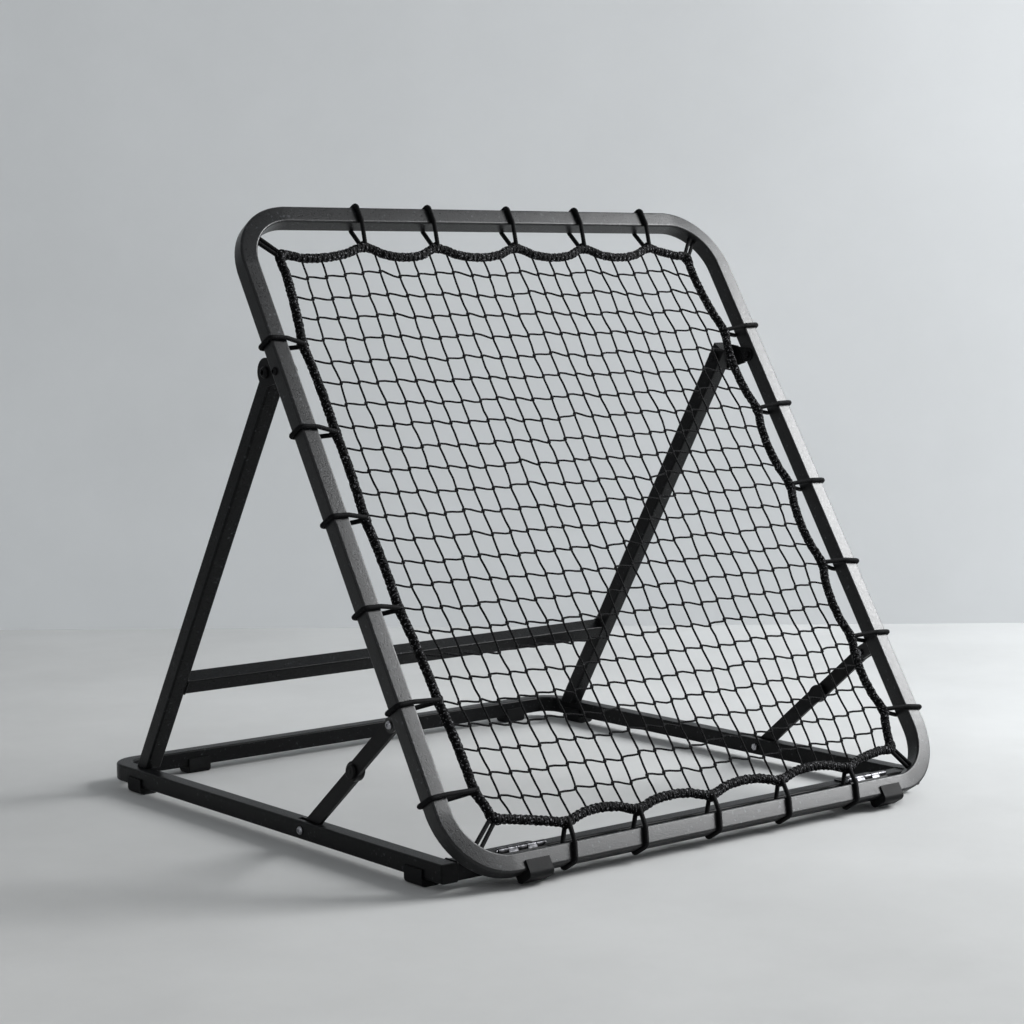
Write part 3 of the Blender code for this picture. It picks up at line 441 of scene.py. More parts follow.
def finish(piece, name, body, material, nodes=(), lean=None, smooth=30.0):
    """Name a piece, lean it if it needs it, give it its finish and let it ride.

    Weighted normals keep the flat faces of hard parts flat up to their rounded edges.
    """
    settle(piece)
    if lean is not None:
        piece.data.transform(lean)
    piece.name = name
    piece.data.name = name
    piece.data.materials.clear()
    piece.data.materials.append(material)
    hold(piece)
    bpy.ops.object.shade_smooth_by_angle(angle=math.radians(smooth))
    if smooth < 45.0:
        apply_modifier(piece, "WEIGHTED_NORMAL", keep_sharp=True)
    if nodes:
        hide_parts(*nodes)
    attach(piece, body)
    print(name, "on", body, "with", len(piece.data.polygons), "faces")


print("ring leans", round(math.degrees(NET_LEAN), 1), "degrees about", tuple(PIN))

# %% [markdown]
# ## Bent square tube
#
# A tube starts as its section: a plane with rounded corners. Extruding the plane makes a
# straight run, and spinning it about a point makes a bend, just as a bending machine does.
# A ring ends where it began, so its two end faces are removed and their points merged.

# %% Tube tools
HEADINGS = {"X": (0.0, math.pi / 2, 0.0), "Y": (-math.pi / 2, 0.0, 0.0), "Z": (0.0, 0.0, 0.0)}
BEND_STEPS = 18


def start_tube(centre, heading, size=TUBE):
    """The rounded-square section of a tube, ready in edit mode."""
    let_go()
    bpy.ops.mesh.primitive_plane_add(size=size, location=centre, rotation=HEADINGS[heading])
    tube = settle(bpy.context.object)
    bpy.ops.object.mode_set(mode="EDIT")
    bpy.ops.mesh.select_all(action="SELECT")
    bpy.ops.mesh.bevel(offset=TUBE_CORNER, segments=4, affect="VERTICES")
    bpy.ops.mesh.select_mode(type="FACE")
    bpy.ops.mesh.select_all(action="SELECT")
    return tube


def run_straight(x, y, z):
    bpy.ops.mesh.extrude_region_move(TRANSFORM_OT_translate={"value": (x, y, z)})


def run_bend(angle, centre, axis):
    """Sweep round a centre; in background the operator turns the other way round its axis."""
    bpy.ops.mesh.spin(steps=BEND_STEPS, angle=-angle, center=centre, axis=axis)


def end_tube():
    """Turn the skin outward and leave edit mode."""
    bpy.ops.mesh.select_all(action="SELECT")
    bpy.ops.mesh.remove_doubles(threshold=0.00001)
    bpy.ops.mesh.normals_make_consistent(inside=False)
    bpy.ops.object.mode_set(mode="OBJECT")


# %% [markdown]
# In a bend the outer wall of a square tube is stretched and sinks in, so its faces slope
# back towards the outside. The outer part of each bend is therefore narrowed in depth,
# most in the middle of the bend.

# %% The net frame's ring
def pinch_ring_bend(ring, corner, side, flip):
    """Narrow the outer wall of one of the ring's four bends in depth."""
    mesh = bmesh.from_edit_mesh(ring.data)
    inner, outer = NET_BEND - 0.6 * TUBE, NET_BEND
    for vertex in mesh.verts:
        across = (vertex.co.x - corner.x) * side
        up = (vertex.co.z - corner.z) * flip
        reach = math.hypot(across, up)
        if across < -1e-6 or up < -1e-6 or reach <= inner:
            continue
        swell = math.sqrt(max(0.0, math.sin(2 * math.atan2(up, across))))
        share = swell * min(1.0, (reach - inner) / (outer - inner))
        vertex.co.y = corner.y + (vertex.co.y - corner.y) * (1.0 - 0.16 * share)
    bmesh.update_edit_mesh(ring.data)


def model_ring():
    half, top = NET_WIDTH / 2, NET_HEIGHT
    side, radius, mid = half - NET_BEND, NET_BEND, TUBE / 2
    across, up = 2 * side, top - 2 * radius
    ring = start_tube((-side, mid, mid), "X")
    for run, x, z in (
        ((across, 0.0, 0.0), side, radius), ((0.0, 0.0, up), side, top - radius),
        ((-across, 0.0, 0.0), -side, top - radius), ((0.0, 0.0, -up), -side, radius),
    ):
        run_straight(*run)
        run_bend(math.pi / 2, (x, mid, z), (0.0, -1.0, 0.0))
    pick(ring, "FACE", lambda face: abs(face.calc_center_median().x + side) < 1e-5
         and abs(face.normal.x) > 0.9 and face.calc_center_median().z < TUBE)
    bpy.ops.mesh.delete(type="ONLY_FACE")
    end_tube()
    with editing(ring):
        for x, x_sign in ((-side, -1), (side, 1)):
            for z, z_sign in ((radius, -1), (top - radius, 1)):
                pinch_ring_bend(ring, Vector((x, mid, z)), x_sign, z_sign)
    return ring


finish(model_ring(), "ring_tube", RING, NET_COAT, ["net_frame"], LEAN_BACK)

# %% [markdown]
# ## The base
#
# The base is a U of the same tube with a crossbar welded across its front. Its two open
# tube ends face forward and are closed by caps. A slot in the top of each side tube lets
# the lower bar of a stay swing, so a box is cut out of the tube there.

# %% Base frame
base_low, base_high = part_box("base_frame")
BASE_HALF = base_high.x
BASE_FRONT, BASE_BACK = base_low.y, base_high.y
BASE_MIDDLE = (base_low.z + base_high.z) / 2
BASE_TOP = base_high.z
BASE_BEND = 0.055
STAY_LANE = {"upper": 0.483, "lower": 0.4767}
SLOT_SIZE = (0.009, 0.056, 0.036)
SLOT_SETBACK = 0.008
STAY_FOOT = Vector(JOINTS["stay_lower_swing_right"]["pos_m"])
STAY_TOP = Vector(JOINTS["stay_upper_swing_right"]["pos_m"])


def add_box(size, centre):
    """A box of a given size, settled at its place."""
    let_go()
    bpy.ops.mesh.primitive_cube_add(size=1.0, location=centre)
    bpy.context.object.scale = size
    return settle(bpy.context.object)


def add_rod(radius, length, centre, vertices):
    """A cylinder along X, settled at its place."""
    let_go()
    bpy.ops.mesh.primitive_cylinder_add(
        radius=radius, depth=length, vertices=vertices, location=centre, rotation=HEADINGS["X"],
    )
    return settle(bpy.context.object)


def model_base():
    mid = BASE_HALF - TUBE / 2
    corner = BASE_BACK - BASE_BEND
    radius = BASE_BEND - TUBE / 2
    tube = start_tube((-mid, BASE_FRONT, BASE_MIDDLE), "Y")
    run_straight(0.0, corner - BASE_FRONT, 0.0)
    run_bend(-math.pi / 2, (radius - mid, corner, BASE_MIDDLE), (0.0, 0.0, 1.0))
    run_straight(2 * (mid - radius), 0.0, 0.0)
    run_bend(-math.pi / 2, (mid - radius, corner, BASE_MIDDLE), (0.0, 0.0, 1.0))
    run_straight(0.0, BASE_FRONT - corner, 0.0)
    end_tube()
    for sign in SIDES.values():
        slot_middle = (sign * STAY_LANE["lower"], STAY_FOOT.y - SLOT_SETBACK, BASE_TOP)
        cut_solid(tube, add_box(SLOT_SIZE, slot_middle))
    return tube


def model_crossbar(half, depth, height):
    """A level bar of tube that bites a little into the tubes at its two ends."""
    bar = start_tube((-half, depth, height), "X", TUBE - 0.0004)
    run_straight(2 * half, 0.0, 0.0)
    end_tube()
    return bar


BITE = 0.0005
inside = BASE_HALF - TUBE + BITE
finish(model_base(), "base_tube", BASE, BASE_COAT, ["base_frame"])
crossbar = model_crossbar(inside, BASE_FRONT + TUBE / 2, BASE_MIDDLE)
finish(crossbar, "base_crossbar", BASE, BASE_COAT)

# %% [markdown]
# ## The prop frame
#
# Two legs stand from the base to the brackets high on the ring, and a crossbar joins them.
# The legs are modelled upright along Z about the pivot and then leaned with a matrix. Their
# feet are bisected level, so that they stand flat on the base.

# %% Prop frame
PROP_LEAN = math.radians(31.8)
PROP_HALF = 0.951 / 2
PROP_TOP = 0.020
PROP_CROSSBAR_RISE = 0.156
LEAN_PROP = Matrix.Translation((0.0, PIVOT.y, PIVOT.z)) @ Matrix.Rotation(PROP_LEAN, 4, "X")
foot_drop = (PIVOT.z - BASE_TOP - GAP) / math.cos(PROP_LEAN)
crossbar_height = TUBE / 2 * math.tan(PROP_LEAN) - foot_drop + PROP_CROSSBAR_RISE + TUBE / 2
prop_mid = PROP_HALF - TUBE / 2
for side, sign in SIDES.items():
    leg = start_tube((sign * prop_mid, 0.0, -foot_drop - TUBE), "Z")
    run_straight(0.0, 0.0, foot_drop + TUBE + PROP_TOP)
    bpy.ops.mesh.select_all(action="SELECT")
    level = (0.0, math.sin(PROP_LEAN), math.cos(PROP_LEAN))
    bpy.ops.mesh.bisect(
        plane_co=(0.0, 0.0, -foot_drop), plane_no=level, use_fill=True, clear_inner=True,
    )
    end_tube()
    soften(leg, 0.0008)
    nodes = ["prop_frame"] if side == "left" else ()
    finish(leg, "prop_leg_" + side, PROP, BASE_COAT, nodes, LEAN_PROP)
prop_inside = PROP_HALF - TUBE + BITE
prop_bar = model_crossbar(prop_inside, 0.0, crossbar_height)
finish(prop_bar, "prop_crossbar", PROP, BASE_COAT, (), LEAN_PROP)

# %% [markdown]
# ## Weld beads
#
# Where a crossbar meets a side tube, a thin fillet of weld runs round the joint. It is a
# small tube swept along a rounded square, and its radius swells and shrinks a little, as a
# hand-laid bead does. The same sweep makes every cord of the net later, so it also lays a
# UV map: U is the distance round the sweep and V the distance along it.

# %% Sweep along a path
def sweep(points, radius, sides, normal, closed=False, swell=None):
    """A mesh tube along points; normal is a direction that the path never follows.

    swell(turn, run) gives a factor on the radius from the turn round the tube and the
    run along it.
    """
    points = [Vector(point) for point in points]
    count = len(points)
    shape = bmesh.new()
    cord_map = shape.loops.layers.uv.new(CORD_MAP)
    normal = Vector(normal)
    runs = [0.0]
    for index in range(1, count + 1):
        runs.append(runs[-1] + (points[index % count] - points[index - 1]).length)
    rings = []
    for index, point in enumerate(points):
        before = points[index - 1] if closed or index else point
        after = points[(index + 1) % count] if closed or index < count - 1 else point
        along = (after - before).normalized()
        side = normal.cross(along).normalized()
        up = along.cross(side)
        ring = []
        for step in range(sides):
            turn = 2 * math.pi * step / sides
            reach = radius * (swell(turn, runs[index]) if swell else 1.0)
            out = math.cos(turn) * side + math.sin(turn) * up
            ring.append(shape.verts.new(point + reach * out))
        rings.append(ring)
    last = count if closed else count - 1
    girth = 2 * math.pi * radius
    for index in range(last):
        ring, following = rings[index], rings[(index + 1) % count]
        for step in range(sides):
            onward = (step + 1) % sides
            face = shape.faces.new((ring[step], ring[onward], following[onward], following[step]))
            spots = [(step, 0), (step + 1, 0), (step + 1, 1), (step, 1)]
            for loop, (turn, ahead) in zip(face.loops, spots):
                loop[cord_map].uv = (girth * turn / sides, runs[index + ahead])
    if not closed:
        shape.faces.new(list(reversed(rings[0])))
        shape.faces.new(rings[-1])
    return shape


def dense_loop(points, step=0.004):
    """The same closed route with points no further apart than a step."""
    dense = []
    for index, point in enumerate(points):
        run = points[(index + 1) % len(points)] - point
        parts = max(1, round(run.length / step))
        dense += [point + run * (part / parts) for part in range(parts)]
    return dense


def mesh_piece(shape):
    """Turn a bmesh into an object that is linked to the scene."""
    mesh = bpy.data.meshes.new("sweep")
    shape.to_mesh(mesh)
    shape.free()
    piece = bpy.data.objects.new("sweep", mesh)
    bpy.context.scene.collection.objects.link(piece)
    return piece


def join_pieces(pieces):
    """Make several shapes one mesh; each stays a closed shell of its own."""
    let_go()
    for piece in pieces:
        piece.select_set(True)
    bpy.context.view_layer.objects.active = pieces[0]
    if len(pieces) > 1:
        bpy.ops.object.join()
    return bpy.context.object


BEAD_RADIUS = 0.0015
BEAD_STEP = 0.0014
BEAD_RIPPLE = 0.0007
BEAD_HALF = TUBE / 2 + 0.0002
BEAD_INSET = 0.0007


def weld_bead(centre, seed):
    """A bead round the square joint of a crossbar."""
    phase = random.Random(seed).uniform(0.0, 6.28)
    corner = TUBE_CORNER + 0.0006
    flat = BEAD_HALF - corner
    points = []
    for quarter in range(4):
        middle_x = flat if quarter in (0, 3) else -flat
        middle_y = flat if quarter in (0, 1) else -flat
        for step in range(4):
            angle = math.pi / 2 * quarter + math.pi / 6 * step
            x, y = middle_x + corner * math.cos(angle), middle_y + corner * math.sin(angle)
            points.append(Vector((0.0, x, y)))
    spots = [spot + Vector(centre) for spot in dense_loop(points, BEAD_STEP)]
    return mesh_piece(sweep(
        spots, BEAD_RADIUS, 8, (1.0, 0.0, 0.0), closed=True,
        swell=lambda turn, run: 1.0 + 0.16 * math.sin(run / BEAD_RIPPLE + phase),
    ))


base_joint = (inside - BEAD_INSET, BASE_FRONT + TUBE / 2, BASE_MIDDLE)
prop_joint = (prop_inside - BEAD_INSET, 0.0, crossbar_height)
for label, body, (x, y, z), seed, lean in (
    ("base", BASE, base_joint, 3, None), ("prop", PROP, prop_joint, 6, LEAN_PROP),
):
    beads = join_pieces([weld_bead((sign * x, y, z), seed + sign) for sign in SIDES.values()])
    finish(beads, label + "_weld_beads", body, BASE_COAT, (), lean, 60.0)

# %% [markdown]
# ## Saddle feet
#
# Eight moulded feet grip the tubes from below. Each is a block whose long lower edges are
# rounded, with a channel for the tube. Its ends are hollowed a little, as moulded parts
# are. One foot is modelled with the bottom middle of its tube at the origin, and copies of
# its mesh are turned and placed.

# %% Saddle feet
FOOT_LENGTH = 0.043
FOOT_PAD = 0.012
FOOT_COVER = 0.014
FOOT_LIP = 0.003
NET_FOOT_PLACE = 0.361


def model_foot():
    half = TUBE / 2 + FOOT_LIP
    size = (FOOT_LENGTH, 2 * half, FOOT_PAD + FOOT_COVER)
    foot = add_box(size, (0.0, 0.0, (FOOT_COVER - FOOT_PAD) / 2))
    with editing(foot):
        pick(foot, "EDGE", lambda edge: lies_along(edge, 0) and middle(edge).z < 0)
        bpy.ops.mesh.bevel(offset=0.008, segments=7, affect="EDGES")
        pick(foot, "FACE", lambda face: abs(face.normal.x) > 0.9)
        bpy.ops.mesh.inset(thickness=0.0022, depth=-0.0012, use_individual=True)
    channel = TUBE + 0.0006
    cut_solid(foot, add_box((2 * FOOT_LENGTH, channel, channel), (0.0, 0.0, channel / 2 - 0.0003)))
    return soften(foot, 0.0007, 2)


foot_shape = model_foot()
QUARTER_TURN = Matrix.Rotation(math.pi / 2, 4, "Z")
side_mid = BASE_HALF - TUBE / 2


def copy_piece(piece, matrix):
    """A copy with its own mesh, moved by a matrix."""
    twin = piece.copy()
    twin.data = piece.data.copy()
    bpy.context.scene.collection.objects.link(twin)
    twin.data.transform(matrix)
    return twin


def foot_seat(node):
    """Where the bottom middle of a base foot's tube is, from the solid model's foot."""
    low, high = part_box(node)
    return Matrix.Translation(((low.x + high.x) / 2, (low.y + high.y) / 2, FOOT_PAD))


NO_TURN = Matrix.Identity(4)
for side, sign in SIDES.items():
    spot = (sign * NET_FOOT_PLACE, TUBE / 2, 0.0)
    seats = [("net_foot_" + side, RING, Matrix.Translation(spot), LEAN_BACK)]
    for place, turn in (("rear", NO_TURN), ("side", QUARTER_TURN), ("front", QUARTER_TURN)):
        node = "base_%s_foot_%s" % (place, side)
        seats.append((node, BASE, foot_seat(node) @ turn, None))
    for node, body, seat, lean in seats:
        foot = copy_piece(foot_shape, seat)
        finish(foot, node + "_moulded", body, PLASTIC, [node], lean)
bpy.data.objects.remove(foot_shape, do_unlink=True)

# %% [markdown]
# The two open ends of the base are closed by plastic plugs. Only the flange shows, a plain
# plate with softened edges.

# %% End caps
def model_cap(node, across):
    flange = 0.0022
    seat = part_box(node)[0].y + flange
    cap = start_tube((across, seat, BASE_MIDDLE), "Y", TUBE - 0.0008)
    run_straight(0.0, -flange, 0.0)
    end_tube()
    soften(cap, 0.0004, 2)
    width, depth = TUBE - 0.0044, 0.014
    plug = add_box((width, depth, width), (across, seat + depth / 2 - 0.0001, BASE_MIDDLE))
    return join_pieces([cap, soften(plug, 0.0006)])


for side, sign in SIDES.items():
    name = "base_end_cap_" + side
    cap = model_cap(name, sign * side_mid)
    finish(cap, name + "_moulded", BASE, PLASTIC, [name])

# %% [markdown]
# ## Bolts
#
# A bolt is a domed head with a hexagon socket, a shank and a hexagon nut. The dome is a
# flattened sphere, cut off under the head and a little below its top. The socket is cut
# with a six-sided rod. Each bolt is modelled with its head pointing along +X from the
# origin, and copied to its place.

# %% Bolts
def model_bolt(grip, shank, head_radius, head, nut_radius, nut, socket):
    let_go()
    bpy.ops.mesh.primitive_uv_sphere_add(
        segments=32, ring_count=16, radius=1.0, rotation=(0.0, math.pi / 2, 0.0),
    )
    bpy.context.object.scale = (head_radius, head_radius, 1.25 * head)
    dome = settle(bpy.context.object)
    with editing(dome):
        for place, away in ((0.0, -1.0), (head, 1.0)):
            trim((place, 0.0, 0.0), (away, 0.0, 0.0))
    cut_solid(dome, add_rod(socket, 2 * 0.7 * head, (head, 0.0, 0.0), 6))
    soften(dome, 0.0003, 2, 30.0)
    reach = grip + nut
    rod = add_rod(shank, reach + 0.0016, (-reach / 2 - 0.0003, 0.0, 0.0), 20)
    collar = add_rod(nut_radius, nut, (-grip - nut / 2, 0.0, 0.0), 6)
    soften(collar, 0.0006, 2)
    soften(rod, 0.0003, 1)
    return join_pieces([dome, rod, collar])


M6 = {
    "shank": 0.003, "head_radius": 0.0065, "head": 0.0038,
    "nut_radius": 0.0063, "nut": 0.0046, "socket": 0.0030,
}
M8 = {
    "shank": 0.004, "head_radius": 0.0095, "head": 0.0055,
    "nut_radius": 0.0085, "nut": 0.0056, "socket": 0.0042,
}
STANDARD = model_bolt(TUBE + 0.0009, **M6)
SHORT = model_bolt(0.0132, **M6)
LONG = model_bolt(TUBE + 0.0039, **M6)
WIDE = model_bolt(TUBE + 0.0041, **M8)
ABOUT = Matrix.Rotation(math.pi, 4, "Z")


def put_bolt(shape, node, body, material):
    """Set a bolt where the solid model has it, its head outward."""
    low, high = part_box(node)
    sign = 1 if high.x > 0 else -1
    tip = high.x if sign > 0 else low.x
    head = max(vertex.co.x for vertex in shape.data.vertices)
    seat = Vector((tip - sign * head, (low.y + high.y) / 2, (low.z + high.z) / 2))
    spin = Matrix.Rotation(0.4 + 0.3 * sign, 4, "X")
    turn = NO_TURN if sign > 0 else ABOUT
    bolt = copy_piece(shape, Matrix.Translation(seat) @ turn @ spin)
    finish(bolt, node + "_machined", body, material, [node])


for side in SIDES:
    put_bolt(LONG, "bracket_bolt_" + side, RING, BLACK_STEEL)
    put_bolt(SHORT, "stay_upper_bolt_" + side, RING, ZINC)
    put_bolt(STANDARD, "stay_lower_bolt_" + side, BASE, ZINC)
    put_bolt(WIDE, "prop_pivot_bolt_" + side, PROP, BLACK_STEEL)
for shape in (STANDARD, SHORT, LONG, WIDE):
    bpy.data.objects.remove(shape, do_unlink=True)

# %% [markdown]
# ## Brackets, stays and tabs
#
# These are flat steel parts with round ends. Two discs of steel with a tight skin round
# them make such a plate: the convex hull operator wraps the discs, the way a belt runs
# round two pulleys.

# %% Flat steel plates
PLATE = 0.003
BRACKET_BOLT = (0.017, 0.812)
BRACKET_PIVOT = (0.070, 0.840)


def model_link(circles, thickness):
    """A plate round circles (y, z, radius) in the plane X = 0, by the hull of their discs."""
    discs = [add_rod(radius, thickness, (0.0, y, z), 40) for y, z, radius in circles]
    plate = join_pieces(discs)
    with editing(plate):
        bpy.ops.mesh.select_all(action="SELECT")
        bpy.ops.mesh.convex_hull()
    return plate


def model_bracket(sign):
    """A plate on the ring's inner face that steps outward past the prop leg."""
    inner = NET_WIDTH / 2 - TUBE - 0.0018
    outer = PROP_HALF + 0.002
    bracket = model_link([(*BRACKET_BOLT, 0.011), (*BRACKET_PIVOT, 0.022)], PLATE)
    start, step = TUBE + GAP, 0.008
    with editing(bracket):
        for place in (start, start + step):
            bpy.ops.mesh.select_all(action="SELECT")
            bpy.ops.mesh.bisect(plane_co=(0.0, place, 0.0), plane_no=(0.0, 1.0, 0.0))
    for vertex in bracket.data.vertices:
        share = min(1.0, max(0.0, (vertex.co.y - start) / step))
        vertex.co.x += sign * (inner + (outer - inner) * share)
    return soften(bracket, 0.0008, 2, 50.0)


for side, sign in SIDES.items():
    name = "prop_bracket_" + side
    bracket = model_bracket(sign)
    finish(bracket, name + "_pressed", RING, BLACK_STEEL, [name], LEAN_BACK)

# %% [markdown]
# Each side stay is two flat bars. At the elbow each bar widens into an oval hub, and the
# two hubs lie face to face under a domed cover. The bars lie in one straight line at rest.

# %% Stays and their covers
STAY_SLOPE = math.atan2(STAY_FOOT.z - STAY_TOP.z, STAY_FOOT.y - STAY_TOP.y)
STAY_UPPER = 0.1296
STAY_BAR = 0.006
STAY_LENGTH = math.hypot(STAY_FOOT.y - STAY_TOP.y, STAY_FOOT.z - STAY_TOP.z)
ELBOW = STAY_TOP + STAY_UPPER * Vector((0.0, math.cos(STAY_SLOPE), math.sin(STAY_SLOPE)))
HUB_RADIUS, HUB_OVAL = 0.018, Matrix.Diagonal((1.0, 1.0, 0.80, 1.0))
COVER_RADIUS, COVER_OVAL = 0.013, Matrix.Diagonal((1.0, 1.0, 0.84, 1.0))
COVER_HEIGHT = 0.004
ALONG_STAY = Matrix.Rotation(STAY_SLOPE, 4, "X")


def model_stay(length):
    """A bar from the origin along +Y that ends in an oval hub."""
    bar = model_link([(0.0, 0.0, 0.012), (length, 0.0, 0.012)], STAY_BAR)
    hub = add_rod(HUB_RADIUS, STAY_BAR - 0.00002, (0.0, 0.0, 0.0), 48)
    hub.data.transform(Matrix.Translation((0.0, length, 0.0)) @ HUB_OVAL)
    return soften(join_solid(bar, hub), 0.0009, 2, 50.0)


def model_stud(radius, height, root, rounding, segments, vertices):
    """A short rod along +X whose outer rim is rounded."""
    stud = add_rod(radius, height, (root + height / 2, 0.0, 0.0), vertices)
    rim = root + height - 0.0001
    with editing(stud):
        pick(stud, "EDGE", lambda edge: middle(edge).x > rim and not lies_along(edge, 0))
        bpy.ops.mesh.bevel(offset=rounding, segments=segments, affect="EDGES")
    return stud


def model_cover(sign):
    """A domed oval cover with a rivet, standing from X = 0 toward the outside."""
    cover = model_stud(COVER_RADIUS, COVER_HEIGHT, 0.0, 0.0028, 5, 48)
    rivet = model_stud(0.0044, COVER_HEIGHT, 0.0004, 0.0016, 4, 24)
    join_solid(cover, rivet)
    if sign < 0:
        cover.data.transform(ABOUT)
    cover.data.transform(ALONG_STAY @ COVER_OVAL)
    return cover


for side, sign in SIDES.items():
    for part, length, end, slope in (
        ("upper", STAY_UPPER, STAY_TOP, STAY_SLOPE),
        ("lower", STAY_LENGTH - STAY_UPPER, STAY_FOOT, STAY_SLOPE + math.pi),
    ):
        name = "stay_%s_%s" % (part, side)
        bar = model_stay(length)
        seat = Matrix.Translation((sign * STAY_LANE[part], end.y, end.z))
        bar.data.transform(seat @ Matrix.Rotation(slope, 4, "X"))
        finish(bar, name + "_bar", name + "_body", BLACK_STEEL, [name])
    name = "stay_knuckle_" + side
    cover = model_cover(sign)
    face = sign * (STAY_LANE["upper"] + STAY_BAR / 2 + GAP)
    cover.data.transform(Matrix.Translation((face, ELBOW.y, ELBOW.z)))
    body = "stay_upper_%s_body" % side
    finish(cover, name + "_cover", body, BLACK_STEEL, [name])
print("elbow at", tuple(round(value, 4) for value in ELBOW))

# %% [markdown]
# The top bolt of each stay runs through two tabs that are welded to the back of the ring,
# one on each side of the bar.

# %% Tabs on the ring
TAB_STEP = 0.0048
TAB_HEIGHT = 0.255
TAB_RADIUS = 0.0115


def model_tab(across):
    """A plate with a round end, cut off just inside the ring's tube."""
    ends = [(depth, TAB_HEIGHT, TAB_RADIUS) for depth in (0.050, 0.030)]
    tab = model_link(ends, PLATE)
    root = (0.0, TUBE - 0.001, 0.0)
    with editing(tab):
        trim(root, (0.0, -1.0, 0.0))
    tab.data.transform(Matrix.Translation((across, 0.0, 0.0)))
    return soften(tab, 0.0006, 2, 50.0)


for side, sign in SIDES.items():
    tabs = [model_tab(sign * (STAY_LANE["upper"] + step)) for step in (-TAB_STEP, TAB_STEP)]
    tabs = join_pieces(tabs)
    finish(tabs, "stay_tabs_" + side, RING, NET_COAT, (), LEAN_BACK)

# %% [markdown]
# ## Barrel hinges
#
# Each hinge has a black leaf on the base and one on the ring, which share five oiled
# knuckles round a pin. A leaf is a box with two corners rounded; a knuckle is a rod with
# softened ends, and a narrow dark gap is left between neighbours.

# %% Hinges
HINGE_LENGTH = 0.086
HINGE_MIDDLE = 0.355
BARREL = 0.005
LEAF = 0.002
LEAF_MIDDLE = 0.0002 - BARREL + LEAF / 2


def model_leaf(reach):
    """A leaf in the XY plane, its root by the pin at the origin, its flat to +Y."""
    root = BARREL + 0.0004
    leaf = add_box((HINGE_LENGTH, reach - root, LEAF), (0.0, (reach + root) / 2, LEAF_MIDDLE))
    with editing(leaf):
        pick(leaf, "EDGE", lambda edge: lies_along(edge, 2) and middle(edge).y > root + 0.001)
        bpy.ops.mesh.bevel(offset=0.0065, segments=6, affect="EDGES")
    return soften(leaf, 0.0005, 2, 50.0)


def model_knuckles(first):
    """Every second knuckle, each with its finger to the leaf."""
    pitch = HINGE_LENGTH / 5
    pieces = []
    for index in range(first, 5, 2):
        centre = -HINGE_LENGTH / 2 + (index + 0.5) * pitch
        barrel = add_rod(BARREL, pitch - 0.0008, (centre, 0.0, 0.0), 28)
        soften(barrel, 0.0005, 2)
        size = (pitch - 0.0010, BARREL + 0.0005, LEAF - 0.0002)
        finger = add_box(size, (centre, BARREL / 2 + 0.0003, LEAF_MIDDLE))
        pieces.append(join_solid(barrel, finger))
    return join_pieces(pieces)


def model_pin():
    rod = add_rod(0.0023, HINGE_LENGTH + 0.0010, (0.0, 0.0, 0.0), 16)
    heads = []
    for end in (-1, 1):
        head = add_rod(0.0036, 0.0011, (end * (HINGE_LENGTH / 2 + 0.0009), 0.0, 0.0), 20)
        heads.append(soften(head, 0.0003, 2))
    return join_pieces([rod, *heads])


base_reach = BASE_FRONT + TUBE - 0.0025 - PIN.y
net_reach = PIN_HEIGHT - FOOT_COVER - GAP
ON_THE_BASE = Matrix.Translation((0.0, PIN.y, PIN.z))
AT_THE_PIN = Matrix.Translation((0.0, PIN_DEPTH, PIN_HEIGHT))
DOWN_THE_RING = LEAN_BACK @ AT_THE_PIN @ Matrix.Rotation(-math.pi / 2, 4, "X")
for side, sign in SIDES.items():
    slide = Matrix.Translation((sign * HINGE_MIDDLE, 0.0, 0.0))
    for first, reach, where, body, part in (
        (0, base_reach, ON_THE_BASE, BASE, "base"), (1, net_reach, DOWN_THE_RING, RING, "net"),
    ):
        seat = slide @ where
        name = "hinge_leaf_%s_%s" % (part, side)
        leaf = model_leaf(reach)
        finish(leaf, name + "_plate", body, BLACK_STEEL, [name], seat)
        knuckles = model_knuckles(first)
        name = "hinge_knuckles_%s_%s" % (part, side)
        finish(knuckles, name, body, OILED_STEEL, (), seat)
    name = "hinge_pin_" + side
    finish(model_pin(), name + "_turned", BASE, ZINC, [name], slide @ ON_THE_BASE)

# %% [markdown]
# ## The rope round the net
#
# A thick crocheted rope runs round the net. The elastic loops pull it toward the tube, so
# its route is a row of shallow scallops. The route is given in the ring's own directions,
# at the four corners and where each loop catches the rope. Between two of these the rope
# sags inward in a shallow arc. A Catmull-Rom curve joins the points smoothly.

# %% Rope route
ROPE_RADIUS = 0.0073
MID_DEPTH = TUBE / 2
CATCHES = {
    "bottom": [(-0.2755, 0.060), (-0.141, 0.058), (0.006, 0.057), (0.153, 0.059), (0.302, 0.058)],
    "right": [
        (0.433, 0.140), (0.430, 0.272), (0.435, 0.408),
        (0.437, 0.556), (0.435, 0.703), (0.435, 0.858),
    ],
    "top": [(0.338, 1.027), (0.190, 1.025), (0.043, 1.026), (-0.119, 1.025), (-0.260, 1.0265)],
    "left": [
        (-0.437, 0.853), (-0.434, 0.702), (-0.436, 0.560),
        (-0.432, 0.414), (-0.421, 0.268), (-0.414, 0.129),
    ],
}
SAGS = {"bottom": 0.012, "right": 0.0115, "top": 0.018, "left": 0.002}
INWARD = {"bottom": (0, 1), "right": (-1, 0), "top": (0, -1), "left": (1, 0)}
CORNERS = {
    "BL": (-0.3985, 0.0850), "BR": (0.4130, 0.0757),
    "TR": (0.4178, 1.0072), "TL": (-0.4205, 1.0100),
}


def hang(start, end, inward, sag):
    """The start and three points of a shallow arc toward the end."""
    start, end, inward = Vector(start), Vector(end), Vector(inward)
    points = [start]
    for share in (0.25, 0.50, 0.75):
        points.append(start.lerp(end, share) + inward * sag * 4 * share * (1 - share))
    return points


